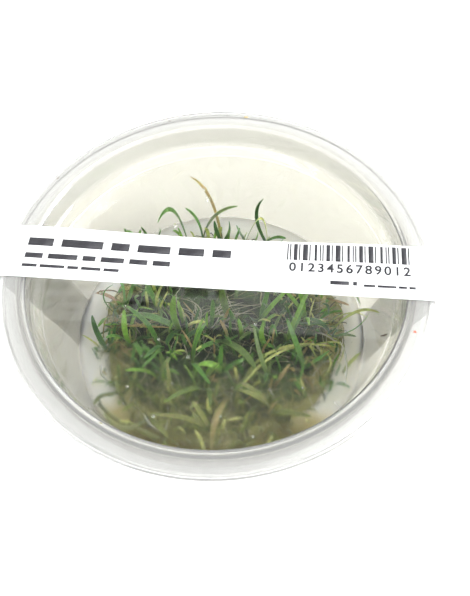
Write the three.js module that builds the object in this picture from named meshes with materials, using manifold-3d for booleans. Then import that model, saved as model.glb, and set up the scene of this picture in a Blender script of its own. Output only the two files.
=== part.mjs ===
// A tissue culture of micro sword grass in its sealed cup. The clear cup holds a layer of agar gel,
// a mat of roots grown into the gel, and many small plantlets with strap leaves that stand on the mat.
// A clear snap lid with a sunk panel closes the cup, and a paper band is stuck over lid and walls.
// Millimetres, +Z up. The origin is the middle of the cup's base, and +X runs along the paper band.
import * as THREE from "three";
import { mergeVertices } from "three/addons/utils/BufferGeometryUtils.js";
import Module from "manifold-3d";

const wasm = await Module();
wasm.setup();

// Driving dimensions
const lidRadius = 50;
const lidTop = 45;
const panelRadius = 42.05;
const panelTop = 35.9;
const plugRadius = 43.75;
const sheet = 0.6;
const wall = 0.65;
const skirt = 2.6;
const gap = 0.3;
const baseRadius = 34;
const wallTopRadius = 44.3;
const wallTop = 36.5;
const floorThickness = 0.9;
const gelTop = 13;
const meniscus = 1.6;
const bandWidth = 14.4;
const bandMiddle = 0.9;
const bandThickness = 0.25;
const tailStuckFrom = 23;
const tailEnd = 12;
const matShoulder = 12;
const matFoot = 3;
const pocketLift = 6;
const roundSteps = 44;
const matSteps = 24;

// Crowns and leaves
const crownRadius = 1.3;
const crownHeight = 3;
const crownSides = 4;
const crownSink = 0.9;
const leafSteps = 4;
const leafKeel = 0.55;
const leafFoot = 0.62;
const leafClearance = 0.45;

// The crowd of plantlets between the ones drawn from life
const crowd = {
  crowns: 38,
  radius: 29.5,
  spacing: 3.7,
  leaves: 3,
  fewestLeaves: 2,
  tries: 14,
  steps: 3,
  shortest: 8,
  extra: 10,
  backRow: 10,
  backShortest: 4,
  backExtra: 5,
  thinnest: 1.1,
  widest: 1.9,
  sway: 0.9,
  highest: 33.6,
  backSlope: 0.72,
  backReach: 30.5,
  offWall: 1.4,
  offGel: 2.2,
};
const rootWindow = { x: 1, y: 7.5, halfX: 14, halfY: 6 };

const colours = {
  clear: 0xf1f2ee,
  paper: 0xfdfdfd,
  gel: 0xe9e2cf,
  roots: 0x5a5446,
  bright: 0x6fa83c,
  leaf: 0x5d8a38,
  moss: 0x6b7f45,
  deep: 0x3c6a3a,
  lime: 0xa9b356,
  tan: 0xa99668,
  rust: 0xb08a6c,
};

// Radius of the cup's inner wall at a height
const wallSlope = (wallTopRadius - baseRadius) / (wallTop - 2);
const wallRadius = (z) => baseRadius + wallSlope * (z - 2);

// Plantlets drawn from life: the crown's place on the mat, then each leaf's middle, tip, width and tone
const seenPlantlets = [
  { at: [-21.6, 21.4], leaves: [
    { mid: [-25.6, 25.2, 17.6], tip: [-28.8, 26.8, 20], width: 1.5, tone: "leaf" },
    { mid: [-22.8, 25.4, 17.6], tip: [-24.4, 26.5, 22.4], width: 1.1, tone: "leaf" },
  ] },
  { at: [-12.0, 27.2], leaves: [
    { mid: [-15.8, 30.6, 25], tip: [-19.3, 25.7, 25.6], width: 2.0, tone: "leaf" },
    { mid: [-14.6, 28.4, 17.4], tip: [-15.8, 27.4, 20.4], width: 1.2, tone: "bright" },
  ] },
  { at: [-7.8, 28.2], leaves: [
    { mid: [-9.2, 30.0, 22], tip: [-11.9, 29.3, 28], width: 1.4, tone: "leaf" },
    { mid: [-4.3, 30.5, 23.5], tip: [2.4, 30.2, 29], width: 1.8, tone: "moss" },
  ] },
  { at: [-2.2, 27.6], leaves: [
    { mid: [-5.7, 34.4, 26], tip: [-11.1, 36.7, 32.4], width: 1.7, tone: "tan" },
    { mid: [-3.6, 28.4, 19], tip: [-4.2, 28.6, 24], width: 1.8, tone: "deep" },
    { mid: [-0.2, 28.6, 19], tip: [-0.1, 28.9, 24], width: 1.5, tone: "leaf" },
  ] },
  { at: [4.4, 28.6], leaves: [
    { mid: [8.5, 29.5, 25], tip: [10.6, 27.4, 17.5], width: 1.5, tone: "lime" },
    { mid: [3.2, 28.6, 18], tip: [1.9, 28.3, 23], width: 1.7, tone: "leaf" },
  ] },
  { at: [10.0, 29.2], leaves: [
    { mid: [7.2, 32.4, 22.5], tip: [9.0, 32.3, 30], width: 1.3, tone: "deep" },
    { mid: [13.0, 29.2, 17], tip: [15.8, 28.4, 18], width: 1.3, tone: "leaf" },
  ] },
  { at: [-16.0, 3.0], leaves: [
    { mid: [-17.0, 3.6, 21], tip: [-14.6, 4.8, 28], width: 1.9, tone: "lime" },
    { mid: [-18.6, 6.0, 20], tip: [-20.6, 8.6, 24], width: 1.6, tone: "leaf" },
  ] },
  { at: [-10.6, -1.8], leaves: [
    { mid: [-11.5, -1.7, 24], tip: [-10.7, -0.9, 32], width: 2.2, tone: "bright" },
    { mid: [-16.6, -0.4, 19], tip: [-22.2, 0.8, 18.6], width: 2.3, tone: "leaf" },
    { mid: [-12.6, -5.2, 18.4], tip: [-12.8, -8.4, 19.6], width: 1.7, tone: "deep" },
  ] },
  { at: [2.2, 1.4], leaves: [
    { mid: [0.8, 2.8, 24], tip: [0.2, 4.0, 30], width: 2.4, tone: "moss" },
    { mid: [3.2, 0.4, 20], tip: [2.5, 0.4, 24.6], width: 1.6, tone: "leaf" },
  ] },
  { at: [-2.6, -0.8], leaves: [
    { mid: [-2.0, 1.3, 21], tip: [-1.8, 2.2, 26], width: 1.6, tone: "leaf" },
    { mid: [-3.4, -1.8, 20], tip: [-2.9, -1.0, 25], width: 1.4, tone: "bright" },
    { mid: [-6.0, -3.4, 19], tip: [-8.6, -5.8, 18.8], width: 1.7, tone: "deep" },
  ] },
  { at: [10.4, 2.8], leaves: [
    { mid: [13.9, 4.6, 22], tip: [16.8, 5.2, 27.4], width: 2.3, tone: "bright" },
    { mid: [11.2, 6.4, 20], tip: [12.4, 8.0, 25], width: 1.7, tone: "leaf" },
    { mid: [8.6, 0.8, 19], tip: [7.0, 0.6, 23], width: 1.5, tone: "deep" },
  ] },
  { at: [0.9, -4.4], leaves: [
    { mid: [6.2, -8.8, 20], tip: [10.2, -12.7, 18.2], width: 2.3, tone: "moss" },
    { mid: [-2.4, -7.2, 19.4], tip: [-5.0, -9.4, 19], width: 1.7, tone: "leaf" },
  ] },
  { at: [5.8, -3.4], leaves: [
    { mid: [5.6, -2.6, 20], tip: [4.9, -2.0, 24.4], width: 1.6, tone: "bright" },
    { mid: [7.6, -4.6, 19.5], tip: [8.4, -4.2, 23.4], width: 1.5, tone: "deep" },
  ] },
  { at: [1.6, -13.2], leaves: [
    { mid: [-0.5, -13.1, 20], tip: [-4.3, -13.4, 19.8], width: 2.1, tone: "bright" },
    { mid: [1.2, -11.4, 20], tip: [1.5, -9.8, 24.4], width: 1.5, tone: "leaf" },
    { mid: [4.6, -11.6, 18], tip: [7.0, -10.9, 18.6], width: 1.6, tone: "leaf" },
  ] },
  { at: [12.6, -5.6], leaves: [
    { mid: [11.0, -4.6, 21], tip: [11.4, -3.3, 26], width: 1.9, tone: "bright" },
    { mid: [13.6, -3.0, 23.4], tip: [15.0, -5.6, 22.6], width: 1.3, tone: "leaf" },
  ] },
  { at: [7.0, -16.0], leaves: [
    { mid: [15.2, -7.6, 19.8], tip: [30.3, -6.0, 20], width: 1.5, tone: "lime" },
    { mid: [9.6, -18.6, 18], tip: [12.0, -19.4, 20], width: 1.4, tone: "moss" },
  ] },
  { at: [-28.6, -9.0], leaves: [
    { mid: [-31.2, -6.2, 18.5], tip: [-32.4, -3.2, 23.6], width: 1.8, tone: "deep" },
    { mid: [-27.4, -6.4, 18], tip: [-26.4, -4.0, 21], width: 1.3, tone: "deep" },
  ] },
  { at: [-26.6, 4.8], leaves: [
    { mid: [-30.7, 6.1, 18], tip: [-33.7, 5.6, 20], width: 1.5, tone: "rust" },
    { mid: [-27.6, 9.6, 19.4], tip: [-30.6, 9.4, 19.6], width: 1.0, tone: "leaf" },
    { mid: [-24.6, 7.2, 19], tip: [-23.4, 9.0, 23.4], width: 1.6, tone: "leaf" },
  ] },
  { at: [28.6, 0.6], leaves: [
    { mid: [34.2, 2.1, 24], tip: [39.8, 0.4, 27.4], width: 1.5, tone: "lime" },
    { mid: [26.4, 1.4, 18.4], tip: [22.8, 1.6, 20.4], width: 1.8, tone: "deep" },
  ] },
  { at: [27.8, 11.2], leaves: [
    { mid: [32.4, 11.4, 20.8], tip: [36.2, 6.6, 20], width: 1.1, tone: "leaf" },
    { mid: [31.0, 9.6, 16.4], tip: [33.4, 8.0, 17.6], width: 1.1, tone: "rust" },
  ] },
  { at: [4.2, -19.6], leaves: [
    { mid: [1.7, -27.2, 20], tip: [0.9, -33.4, 15], width: 2.4, tone: "tan" },
  ] },
  { at: [0.2, -24.6], leaves: [
    { mid: [-0.6, -23.8, 18], tip: [-0.8, -22.6, 21], width: 1.6, tone: "lime" },
    { mid: [-3.6, -26.4, 17.4], tip: [-6.6, -29.6, 17], width: 1.7, tone: "moss" },
  ] },
  { at: [-22.6, -20.4], leaves: [
    { mid: [-26.4, -23.4, 20], tip: [-27.6, -27.0, 22.4], width: 1.5, tone: "deep" },
    { mid: [-20.4, -18.2, 18], tip: [-19.2, -16.0, 20.4], width: 1.5, tone: "moss" },
  ] },
  { at: [-15.4, -26.2], leaves: [
    { mid: [-20.6, -30.4, 17.6], tip: [-25.6, -27.6, 19.4], width: 1.7, tone: "deep" },
    { mid: [-12.4, -29.0, 17], tip: [-9.6, -32.0, 17], width: 1.6, tone: "leaf" },
  ] },
];

// Outline of the root mat from its middle over the top and down to its underside: radius, height
const matOutline = [
  [0, 15.4],
  [12, 15.2],
  [22, 14.6],
  [31, 13.6],
  [32.2, 12.4],
  [32, 8],
  [30.4, 3.4],
  [29, 2.2],
  [0, 2.2],
];

// The mat isn't round: its radius swells and shrinks around the clump
const matSwell = (angle) => 1 + 0.03 * Math.sin(3 * angle + 1) + 0.018 * Math.sin(7 * angle);

// Height of the mat's top at a place
function matTop(x, y) {
  const r = Math.hypot(x, y) / matSwell(Math.atan2(y, x));
  for (let i = 1; i < matOutline.length; i++) {
    const [r0, z0] = matOutline[i - 1];
    const [r1, z1] = matOutline[i];
    if (r <= r1) return z0 + ((z1 - z0) * (r - r0)) / (r1 - r0);
  }
  return matShoulder;
}

// Where a crown's leaves start: just above the highest place of the mat that the crown covers
function crownFoot(x, y) {
  const inward = Math.max(0, 1 - crownRadius / Math.hypot(x, y));
  return [x, y, matTop(x * inward, y * inward) + gap + crownSink];
}

// Random numbers from 0 to 1, the same on each run
let seed = 20260;
function random() {
  seed = (seed * 1664525 + 1013904223) % 4294967296;
  return seed / 4294967296;
}

// A point on the parabola through a leaf's foot, middle and tip
function leafPoint(leaf, t) {
  const a = (1 - t) * (1 - 2 * t);
  const b = 4 * t * (1 - t);
  const c = t * (2 * t - 1);
  return [0, 1, 2].map((k) => a * leaf.foot[k] + b * leaf.mid[k] + c * leaf.tip[k]);
}

// Half the blade's width along the leaf: narrow at the foot, widest past the middle, pointed at the tip
const leafHalf = (leaf, t) =>
  (leaf.width / 2) * (leafFoot + (1 - leafFoot) * Math.sin(Math.PI * t)) * Math.sqrt(1 - t ** 5);

// Whether a leaf keeps clear of the leaves that already stand
const samples = [0.12, 0.24, 0.36, 0.48, 0.6, 0.72, 0.84, 0.95];
function clearOf(leaf, others) {
  const own = samples.map((t) => ({ at: leafPoint(leaf, t), half: leafHalf(leaf, t) }));
  for (const other of others) {
    for (const p of own) {
      for (const q of other) {
        const room = p.half + q.half + leafClearance;
        const d = Math.hypot(p.at[0] - q.at[0], p.at[1] - q.at[1], p.at[2] - q.at[2]);
        if (d < room) return null;
      }
    }
  }
  return own;
}

// A leaf of the crowd, leaning away from its crown and no higher than the lid lets it
function crowdLeaf(foot, turn) {
  const behind = foot[1] > crowd.backRow;
  const shortest = behind ? crowd.backShortest : crowd.shortest;
  const length = shortest + (behind ? crowd.backExtra : crowd.extra) * random();
  const reach = length * (0.3 + 0.5 * random());
  const rise = Math.min(Math.sqrt(length * length - reach * reach), crowd.highest - foot[2]);
  const swayed = turn + crowd.sway * (random() - 0.5);
  const width = crowd.thinnest + (crowd.widest - crowd.thinnest) * random();
  const shade = random();
  const mid = [
    foot[0] + 0.36 * reach * Math.cos(turn),
    foot[1] + 0.36 * reach * Math.sin(turn),
    foot[2] + 0.64 * rise,
  ];
  const tip = [
    foot[0] + reach * Math.cos(swayed),
    foot[1] + reach * Math.sin(swayed),
    foot[2] + rise,
  ];
  const tone = shade < 0.2 ? "bright" : shade < 0.5 ? "leaf" : shade < 0.75 ? "moss" : "deep";
  return { foot, mid, tip, width, tone, steps: crowd.steps };
}

// Whether a leaf stays off the wall and the gel, and under the slope that the crowd keeps to at the back
function hasRoom(leaf) {
  return [0.5, 0.75, 1].every((t) => {
    const [x, y, z] = leafPoint(leaf, t);
    const offWall = Math.hypot(x, y) < wallRadius(z) - crowd.offWall;
    const offGel = z > gelTop + crowd.offGel;
    return offWall && offGel && y + crowd.backSlope * (z - gelTop) < crowd.backReach;
  });
}

// The leaves of one crown of the crowd, with the places that they take up
function crowdPlantlet(foot, standing) {
  const leaves = [];
  const taken = [];
  for (let k = 0; k < crowd.tries && leaves.length < crowd.leaves; k++) {
    const leaf = crowdLeaf(foot, 2 * Math.PI * random());
    const places = hasRoom(leaf) && clearOf(leaf, standing);
    if (places) {
      leaves.push(leaf);
      taken.push(places);
    }
  }
  return { leaves, taken };
}

// Whether a new crown stands clear of the others and outside the bare patch of roots
function crownFits(x, y, plantlets) {
  const apart = plantlets.every((p) => Math.hypot(p.foot[0] - x, p.foot[1] - y) >= crowd.spacing);
  const fromPatch = Math.hypot(
    (x - rootWindow.x) / rootWindow.halfX,
    (y - rootWindow.y) / rootWindow.halfY,
  );
  return apart && fromPatch >= 1;
}

// All plantlets: the ones drawn from life first, then the crowd on a sunflower spiral over the mat
function growPlantlets() {
  const plantlets = [];
  const standing = [];
  for (const { at, leaves } of seenPlantlets) {
    const foot = crownFoot(...at);
    const grown = leaves.map((leaf) => ({ foot, steps: leafSteps, ...leaf }));
    standing.push(...grown.map((leaf) => clearOf(leaf, [])));
    plantlets.push({ foot, leaves: grown });
  }
  const golden = Math.PI * (3 - Math.sqrt(5));
  for (let i = 0; i < crowd.crowns; i++) {
    const r = crowd.radius * Math.sqrt((i + 0.5) / crowd.crowns);
    const x = r * Math.cos(i * golden);
    const y = r * Math.sin(i * golden);
    if (!crownFits(x, y, plantlets)) continue;
    const foot = crownFoot(x, y);
    const { leaves, taken } = crowdPlantlet(foot, standing);
    if (leaves.length < crowd.fewestLeaves) continue;
    standing.push(...taken);
    plantlets.push({ foot, leaves });
  }
  return plantlets;
}

// A closed geometry as a solid that can be joined and cut
function solidOf(geometry) {
  const bare = geometry.clone();
  bare.deleteAttribute("normal");
  bare.deleteAttribute("uv");
  const merged = mergeVertices(bare, 1e-4);
  const made = new wasm.Mesh({
    numProp: 3,
    vertProperties: new Float32Array(merged.attributes.position.array),
    triVerts: new Uint32Array(merged.index.array),
  });
  return new wasm.Manifold(made);
}

function geometryOf(solid) {
  const { vertProperties, triVerts } = solid.getMesh();
  const geometry = new THREE.BufferGeometry();
  geometry.setAttribute("position", new THREE.BufferAttribute(new Float32Array(vertProperties), 3));
  geometry.setIndex(new THREE.BufferAttribute(new Uint32Array(triVerts), 1));
  geometry.computeVertexNormals();
  return geometry;
}

const finish = {
  clear: { roughness: 0.15, transparent: true, opacity: 0.3 },
  gel: { roughness: 0.3, transparent: true, opacity: 0.5 },
};

function mesh(name, geometry, tone) {
  const material = new THREE.MeshStandardMaterial({
    color: colours[tone],
    roughness: 0.6,
    metalness: 0,
    ...finish[tone],
  });
  const made = new THREE.Mesh(geometry, material);
  made.name = name;
  return made;
}

// A turned form from a profile of radius and height, which starts and ends on the axis
function turned(profile, steps) {
  const points = profile.map(([r, z]) => new THREE.Vector2(r, z));
  return new THREE.LatheGeometry(points, steps).rotateX(Math.PI / 2);
}

function cup() {
  const outer = wall;
  return turned([
    [0, 0],
    [baseRadius - 1.2, 0],
    [baseRadius + 0.1, 0.7],
    [baseRadius + outer, 2.2],
    [wallTopRadius + outer, wallTop - 0.2],
    [wallTopRadius + outer + 0.4, wallTop + 0.9],
    [wallTopRadius + outer + 0.4, lidTop - 2.1],
    [wallTopRadius + outer + 0.9, lidTop - 1.6],
    [lidRadius - 1.5, lidTop - 1.6],
    [lidRadius - 1.5, lidTop - 2.4],
    [lidRadius - 0.9, lidTop - 2.4],
    [lidRadius - 0.9, lidTop - 1.3],
    [lidRadius - 1.4, lidTop - 0.9],
    [wallTopRadius + 0.9, lidTop - 0.9],
    [wallTopRadius + 0.4, lidTop - 1.4],
    [wallTopRadius + 0.4, wallTop + 1.1],
    [wallTopRadius, wallTop],
    [baseRadius, 2],
    [baseRadius - 1.6, floorThickness],
    [0, floorThickness],
  ], roundSteps);
}

function lid() {
  const under = sheet;
  return turned([
    [0, panelTop - under],
    [panelRadius, panelTop - under],
    [panelRadius + 0.5, panelTop - 0.3],
    [plugRadius + 0.2, panelTop + 2.4],
    [plugRadius + 0.55, panelTop + 3.5],
    [plugRadius + 0.6, lidTop - 1.05],
    [plugRadius + 1.1, lidTop - under],
    [lidRadius - 1, lidTop - under],
    [lidRadius - 0.6, lidTop - 1.1],
    [lidRadius - 0.6, lidTop - skirt],
    [lidRadius, lidTop - skirt],
    [lidRadius, lidTop - 0.8],
    [lidRadius - 0.8, lidTop],
    [plugRadius + 0.7, lidTop],
    [plugRadius, lidTop - 0.65],
    [plugRadius - 0.05, panelTop + 3.7],
    [plugRadius - 0.4, panelTop + 2.6],
    [panelRadius, panelTop + 0.1],
    [panelRadius - 0.4, panelTop],
    [0, panelTop],
  ], roundSteps);
}

// The paper band runs flat over the lid, folds over both edges and reaches down the wall as a tail
function labelBand() {
  const wallOut = (z) => wallRadius(z) + wall + 0.05 + gap;
  const under = [
    [lidRadius - 0.6, lidTop + gap],
    [lidRadius + 0.1, lidTop + 0.05],
    [lidRadius + 0.4, lidTop - 0.6],
    [lidRadius + 0.4, lidTop - skirt - 0.2],
    [wallOut(tailStuckFrom), tailStuckFrom],
    [wallOut(tailEnd), tailEnd],
  ];
  const over = under.map(([x, z], i) => [
    x + (i > 0 ? bandThickness : 0),
    z + (i > 1 ? 0 : bandThickness),
  ]);
  const right = [...over, ...under.slice().reverse()];
  const left = [...under, ...over.slice().reverse()].map(([x, z]) => [-x, z]);
  const outline = new THREE.Shape([...right, ...left].map(([x, z]) => new THREE.Vector2(x, z)));
  return new THREE.ExtrudeGeometry(outline, { depth: bandWidth, bevelEnabled: false })
    .rotateX(Math.PI / 2)
    .translate(0, bandMiddle + bandWidth / 2, 0);
}

// The root mat's form. With a margin it is the pocket that the mat fills in the gel, open at the top.
function matForm(margin) {
  const lift = margin ? pocketLift : 0;
  const profile = matOutline.map(([r, z]) => [
    r ? r + margin : 0,
    z > matShoulder ? z + lift : z - (z < matFoot ? margin : 0),
  ]);
  const geometry = turned(profile.reverse(), matSteps);
  const spot = geometry.attributes.position;
  for (let i = 0; i < spot.count; i++) {
    const swell = matSwell(Math.atan2(spot.getY(i), spot.getX(i)));
    spot.setXY(i, spot.getX(i) * swell, spot.getY(i) * swell);
  }
  return geometry;
}

// The agar fills the foot of the cup, climbs a little up the wall and leaves the mat's pocket open
function cultureGel() {
  const low = floorThickness + gap;
  const edge = wallRadius(gelTop + meniscus) - gap;
  const body = turned([
    [0, low],
    [baseRadius - 2.2, low],
    [baseRadius - 1.2, low + 0.3],
    [wallRadius(2.4) - gap, 2.4],
    [edge, gelTop + meniscus],
    [edge - 0.7, gelTop + 0.5],
    [edge - 2.2, gelTop],
    [0, gelTop],
  ], roundSteps);
  return geometryOf(solidOf(body).subtract(solidOf(matForm(gap))));
}

// A strap leaf: a three-sided spike laid along its parabola, with a keel below and a pointed tip
function leafSolid(leaf) {
  const geometry = new THREE.ConeGeometry(1, 1, 3, leaf.steps);
  const spot = geometry.attributes.position;
  const heading = Math.atan2(leaf.tip[1] - leaf.foot[1], leaf.tip[0] - leaf.foot[0]);
  const across = new THREE.Vector3(-Math.sin(heading), Math.cos(heading), 0);
  for (let i = 0; i < spot.count; i++) {
    const t = spot.getY(i) + 0.5;
    const turn = Math.atan2(spot.getX(i), spot.getZ(i));
    const reach = Math.hypot(spot.getX(i), spot.getZ(i)) > 1e-6 ? leafHalf(leaf, t) : 0;
    const side = Math.abs(Math.sin(turn)) > 0.5 ? Math.sign(Math.sin(turn)) : 0;
    const here = new THREE.Vector3(...leafPoint(leaf, t));
    const next = new THREE.Vector3(...leafPoint(leaf, t + 0.01));
    const along = next.sub(here).normalize();
    const flat = new THREE.Vector3().crossVectors(across, along).normalize();
    here.addScaledVector(across, reach * side);
    here.addScaledVector(flat, side ? 0 : reach * leafKeel);
    spot.setXYZ(i, here.x, here.y, here.z);
  }
  return solidOf(geometry);
}

function plantletGeometry({ foot, leaves }) {
  const crown = new THREE.ConeGeometry(crownRadius, crownHeight, crownSides)
    .rotateX(Math.PI / 2)
    .translate(foot[0], foot[1], foot[2] - crownSink + crownHeight / 2);
  return geometryOf(leaves.reduce((whole, leaf) => whole.add(leafSolid(leaf)), solidOf(crown)));
}

const culture = new THREE.Group();
culture.add(
  mesh("cup", cup(), "clear"),
  mesh("lid", lid(), "clear"),
  mesh("label_band", labelBand(), "paper"),
  mesh("culture_gel", cultureGel(), "gel"),
  mesh("root_mat", matForm(0), "roots"),
);
growPlantlets().forEach((plantlet, i) => {
  const name = "plantlet_" + String(i + 1).padStart(2, "0");
  culture.add(mesh(name, plantletGeometry(plantlet), plantlet.leaves[0].tone));
});

export default culture;
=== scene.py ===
"""A sealed tissue culture cup of young sword grass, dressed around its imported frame.

The clear cup, its snap lid, the paper band, the agar gel, the root mat and the plantlets each have an
operator. Sizes in the lists are millimetres, and every mesh is in metres."""

import math

import bmesh
import bpy
from mathutils import Matrix, Vector, noise


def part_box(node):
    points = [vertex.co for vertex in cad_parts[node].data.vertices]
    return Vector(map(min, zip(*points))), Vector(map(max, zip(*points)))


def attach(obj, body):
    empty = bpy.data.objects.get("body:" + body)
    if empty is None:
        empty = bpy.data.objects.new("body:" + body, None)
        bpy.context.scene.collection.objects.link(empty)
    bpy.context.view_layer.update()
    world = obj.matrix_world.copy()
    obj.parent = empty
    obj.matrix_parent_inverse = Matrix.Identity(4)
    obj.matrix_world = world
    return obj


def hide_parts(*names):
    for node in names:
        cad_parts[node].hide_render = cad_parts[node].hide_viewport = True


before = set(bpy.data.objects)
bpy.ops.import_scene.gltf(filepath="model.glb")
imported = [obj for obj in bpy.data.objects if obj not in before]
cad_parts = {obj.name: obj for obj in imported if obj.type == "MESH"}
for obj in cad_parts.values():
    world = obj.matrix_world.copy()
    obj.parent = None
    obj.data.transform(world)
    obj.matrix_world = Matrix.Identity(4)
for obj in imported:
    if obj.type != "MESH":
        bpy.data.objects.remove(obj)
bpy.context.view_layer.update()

bl_info = {
    "name": "Tissue Culture Cup",
    "version": (1, 0, 0),
    "blender": (4, 5, 0),
    "location": "View3D > Sidebar > Culture",
    "description": "Builds a sealed culture cup of sword grass plantlets around its frame",
    "category": "Object",
}

MM = 0.001
ROOT = "root"


def high(node, axis):
    """The node's highest coordinate along an axis, in millimetres."""
    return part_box(node)[1][axis] / MM


def low(node, axis):
    """The node's lowest coordinate along an axis, in millimetres."""
    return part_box(node)[0][axis] / MM


# Main sizes, in millimetres, read from the frame where a node shows them
LID_RADIUS = high("lid", 0)
LID_TOP = high("lid", 2)
PANEL_TOP = 35.9
PANEL_RADIUS = 42.05
PLUG_RADIUS = 43.75
SHEET = 0.6
WALL = 0.65
SKIRT = 2.6
GAP = 0.3
BASE_RADIUS = 34.0
WALL_TOP_RADIUS = 44.3
WALL_TOP = 36.5
FLOOR = 0.9
FOOT_TOP = 2
GEL_TOP = 13.0
MENISCUS = 1.6
BAND_FRONT = low("label_band", 1)
BAND_BACK = high("label_band", 1)
BAND_THICKNESS = 0.25
# Real label stock is thinner than its solid
PAPER_THICKNESS = BAND_THICKNESS * 0.8
BAND_ROWS = 13
# A little under the frame's own band, so that the ink stays inside the frame
BAND_TOP = high("label_band", 2) - 0.04
TAIL_STUCK_FROM = 23.0
TAIL_END = low("label_band", 2)
TURN_STEPS = 192

# Plantlets drawn from life: the crown's place, then each leaf's middle, tip, width and tone
# The deep tone is painted shade, for leaves that lie in shadow
SEEN = (
    ((-21.6, 21.4), (
        ((-25.6, 25.2, 17.6), (-28.8, 26.8, 20), 1.5, "leaf"),
        ((-22.8, 25.4, 17.6), (-24.4, 26.5, 22.4), 1.1, "leaf"),
    )),
    ((-12.0, 27.2), (
        ((-15.8, 30.6, 25), (-19.3, 25.7, 25.6), 2.0, "leaf"),
        ((-14.6, 28.4, 17.4), (-15.8, 27.4, 20.4), 1.2, "bright"),
    )),
    ((-7.8, 28.2), (
        ((-9.2, 30.0, 22), (-11.9, 29.3, 28), 1.4, "leaf"),
        ((-4.3, 30.5, 23.5), (2.4, 30.2, 29), 1.8, "moss"),
    )),
    ((-2.2, 27.6), (
        ((-5.7, 34.4, 26), (-11.1, 36.7, 32.4), 1.7, "tan"),
        ((-3.6, 28.4, 19), (-4.2, 28.6, 24), 1.8, "deep"),
        ((-0.2, 28.6, 19), (-0.1, 28.9, 24), 1.5, "leaf"),
    )),
    ((4.4, 28.6), (
        ((8.5, 29.5, 25), (10.6, 27.4, 17.5), 1.5, "lime"),
        ((3.2, 28.6, 18), (1.9, 28.3, 23), 1.7, "leaf"),
    )),
    ((10.0, 29.2), (
        ((7.2, 32.4, 22.5), (9.0, 32.3, 30), 1.3, "deep"),
        ((13.0, 29.2, 17), (15.8, 28.4, 18), 1.3, "leaf"),
    )),
    ((-16.0, 3.0), (
        ((-17.0, 3.6, 21), (-14.6, 4.8, 28), 1.9, "lime"),
        ((-18.6, 6.0, 20), (-20.6, 8.6, 24), 1.6, "leaf"),
    )),
    ((-10.6, -1.8), (
        ((-11.5, -1.7, 24), (-10.7, -0.9, 32), 2.2, "bright"),
        ((-16.6, -0.4, 19), (-22.2, 0.8, 18.6), 2.3, "leaf"),
        ((-12.6, -5.2, 18.4), (-12.8, -8.4, 19.6), 1.7, "deep"),
    )),
    ((2.2, 1.4), (
        ((0.8, 2.8, 24), (0.2, 4.0, 30), 2.4, "moss"),
        ((3.2, 0.4, 20), (2.5, 0.4, 24.6), 1.6, "leaf"),
    )),
    ((-2.6, -0.8), (
        ((-2.0, 1.3, 21), (-1.8, 2.2, 26), 1.6, "leaf"),
        ((-3.4, -1.8, 20), (-2.9, -1.0, 25), 1.4, "bright"),
        ((-6.0, -3.4, 19), (-8.6, -5.8, 18.8), 1.7, "deep"),
    )),
    ((10.4, 2.8), (
        ((13.9, 4.6, 22), (16.8, 5.2, 27.4), 2.3, "bright"),
        ((11.2, 6.4, 20), (12.4, 8.0, 25), 1.7, "leaf"),
        ((8.6, 0.8, 19), (7.0, 0.6, 23), 1.5, "deep"),
    )),
    ((0.9, -4.4), (
        ((6.2, -8.8, 20), (10.2, -12.7, 18.2), 2.3, "moss"),
        ((-2.4, -7.2, 19.4), (-5.0, -9.4, 19), 1.7, "leaf"),
    )),
    ((5.8, -3.4), (
        ((5.6, -2.6, 20), (4.9, -2.0, 24.4), 1.6, "bright"),
        ((7.6, -4.6, 19.5), (8.4, -4.2, 23.4), 1.5, "deep"),
    )),
    ((1.6, -13.2), (
        ((-0.5, -13.1, 20), (-4.3, -13.4, 19.8), 2.1, "bright"),
        ((1.2, -11.4, 20), (1.5, -9.8, 24.4), 1.5, "leaf"),
        ((4.6, -11.6, 18), (7.0, -10.9, 18.6), 1.6, "leaf"),
    )),
    ((12.6, -5.6), (
        ((11.0, -4.6, 21), (11.4, -3.3, 26), 1.9, "bright"),
        ((13.6, -3.0, 23.4), (15.0, -5.6, 22.6), 1.3, "leaf"),
    )),
    ((7.0, -16.0), (
        ((15.2, -7.6, 19.8), (30.3, -6.0, 20), 1.5, "lime"),
        ((9.6, -18.6, 18), (12.0, -19.4, 20), 1.4, "moss"),
    )),
    ((-28.6, -9.0), (
        ((-31.2, -6.2, 18.5), (-32.4, -3.2, 23.6), 1.8, "deep"),
        ((-27.4, -6.4, 18), (-26.4, -4.0, 21), 1.3, "deep"),
    )),
    ((-26.6, 4.8), (
        ((-30.7, 6.1, 18), (-33.7, 5.6, 20), 1.5, "rust"),
        ((-27.6, 9.6, 19.4), (-30.6, 9.4, 19.6), 1.0, "leaf"),
        ((-24.6, 7.2, 19), (-23.4, 9.0, 23.4), 1.6, "leaf"),
    )),
    ((28.6, 0.6), (
        ((34.2, 2.1, 24), (39.8, 0.4, 27.4), 1.5, "lime"),
        ((26.4, 1.4, 18.4), (22.8, 1.6, 20.4), 1.8, "deep"),
    )),
    ((27.8, 11.2), (
        ((32.4, 11.4, 20.8), (36.2, 6.6, 20), 1.1, "leaf"),
        ((31.0, 9.6, 16.4), (33.4, 8.0, 17.6), 1.1, "rust"),
    )),
    ((4.2, -19.6), (
        ((1.7, -27.2, 20), (0.9, -33.4, 15), 2.4, "tan"),
    )),
    ((0.2, -24.6), (
        ((-0.6, -23.8, 18), (-0.8, -22.6, 21), 1.6, "lime"),
        ((-3.6, -26.4, 17.4), (-6.6, -29.6, 17), 1.7, "moss"),
    )),
    ((-22.6, -20.4), (
        ((-26.4, -23.4, 20), (-27.6, -27.0, 22.4), 1.5, "deep"),
        ((-20.4, -18.2, 18), (-19.2, -16.0, 20.4), 1.5, "moss"),
    )),
    ((-15.4, -26.2), (
        ((-20.6, -30.4, 17.6), (-25.6, -27.6, 19.4), 1.7, "deep"),
        ((-12.4, -29.0, 17), (-9.6, -32.0, 17), 1.6, "leaf"),
    )),
)
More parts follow.
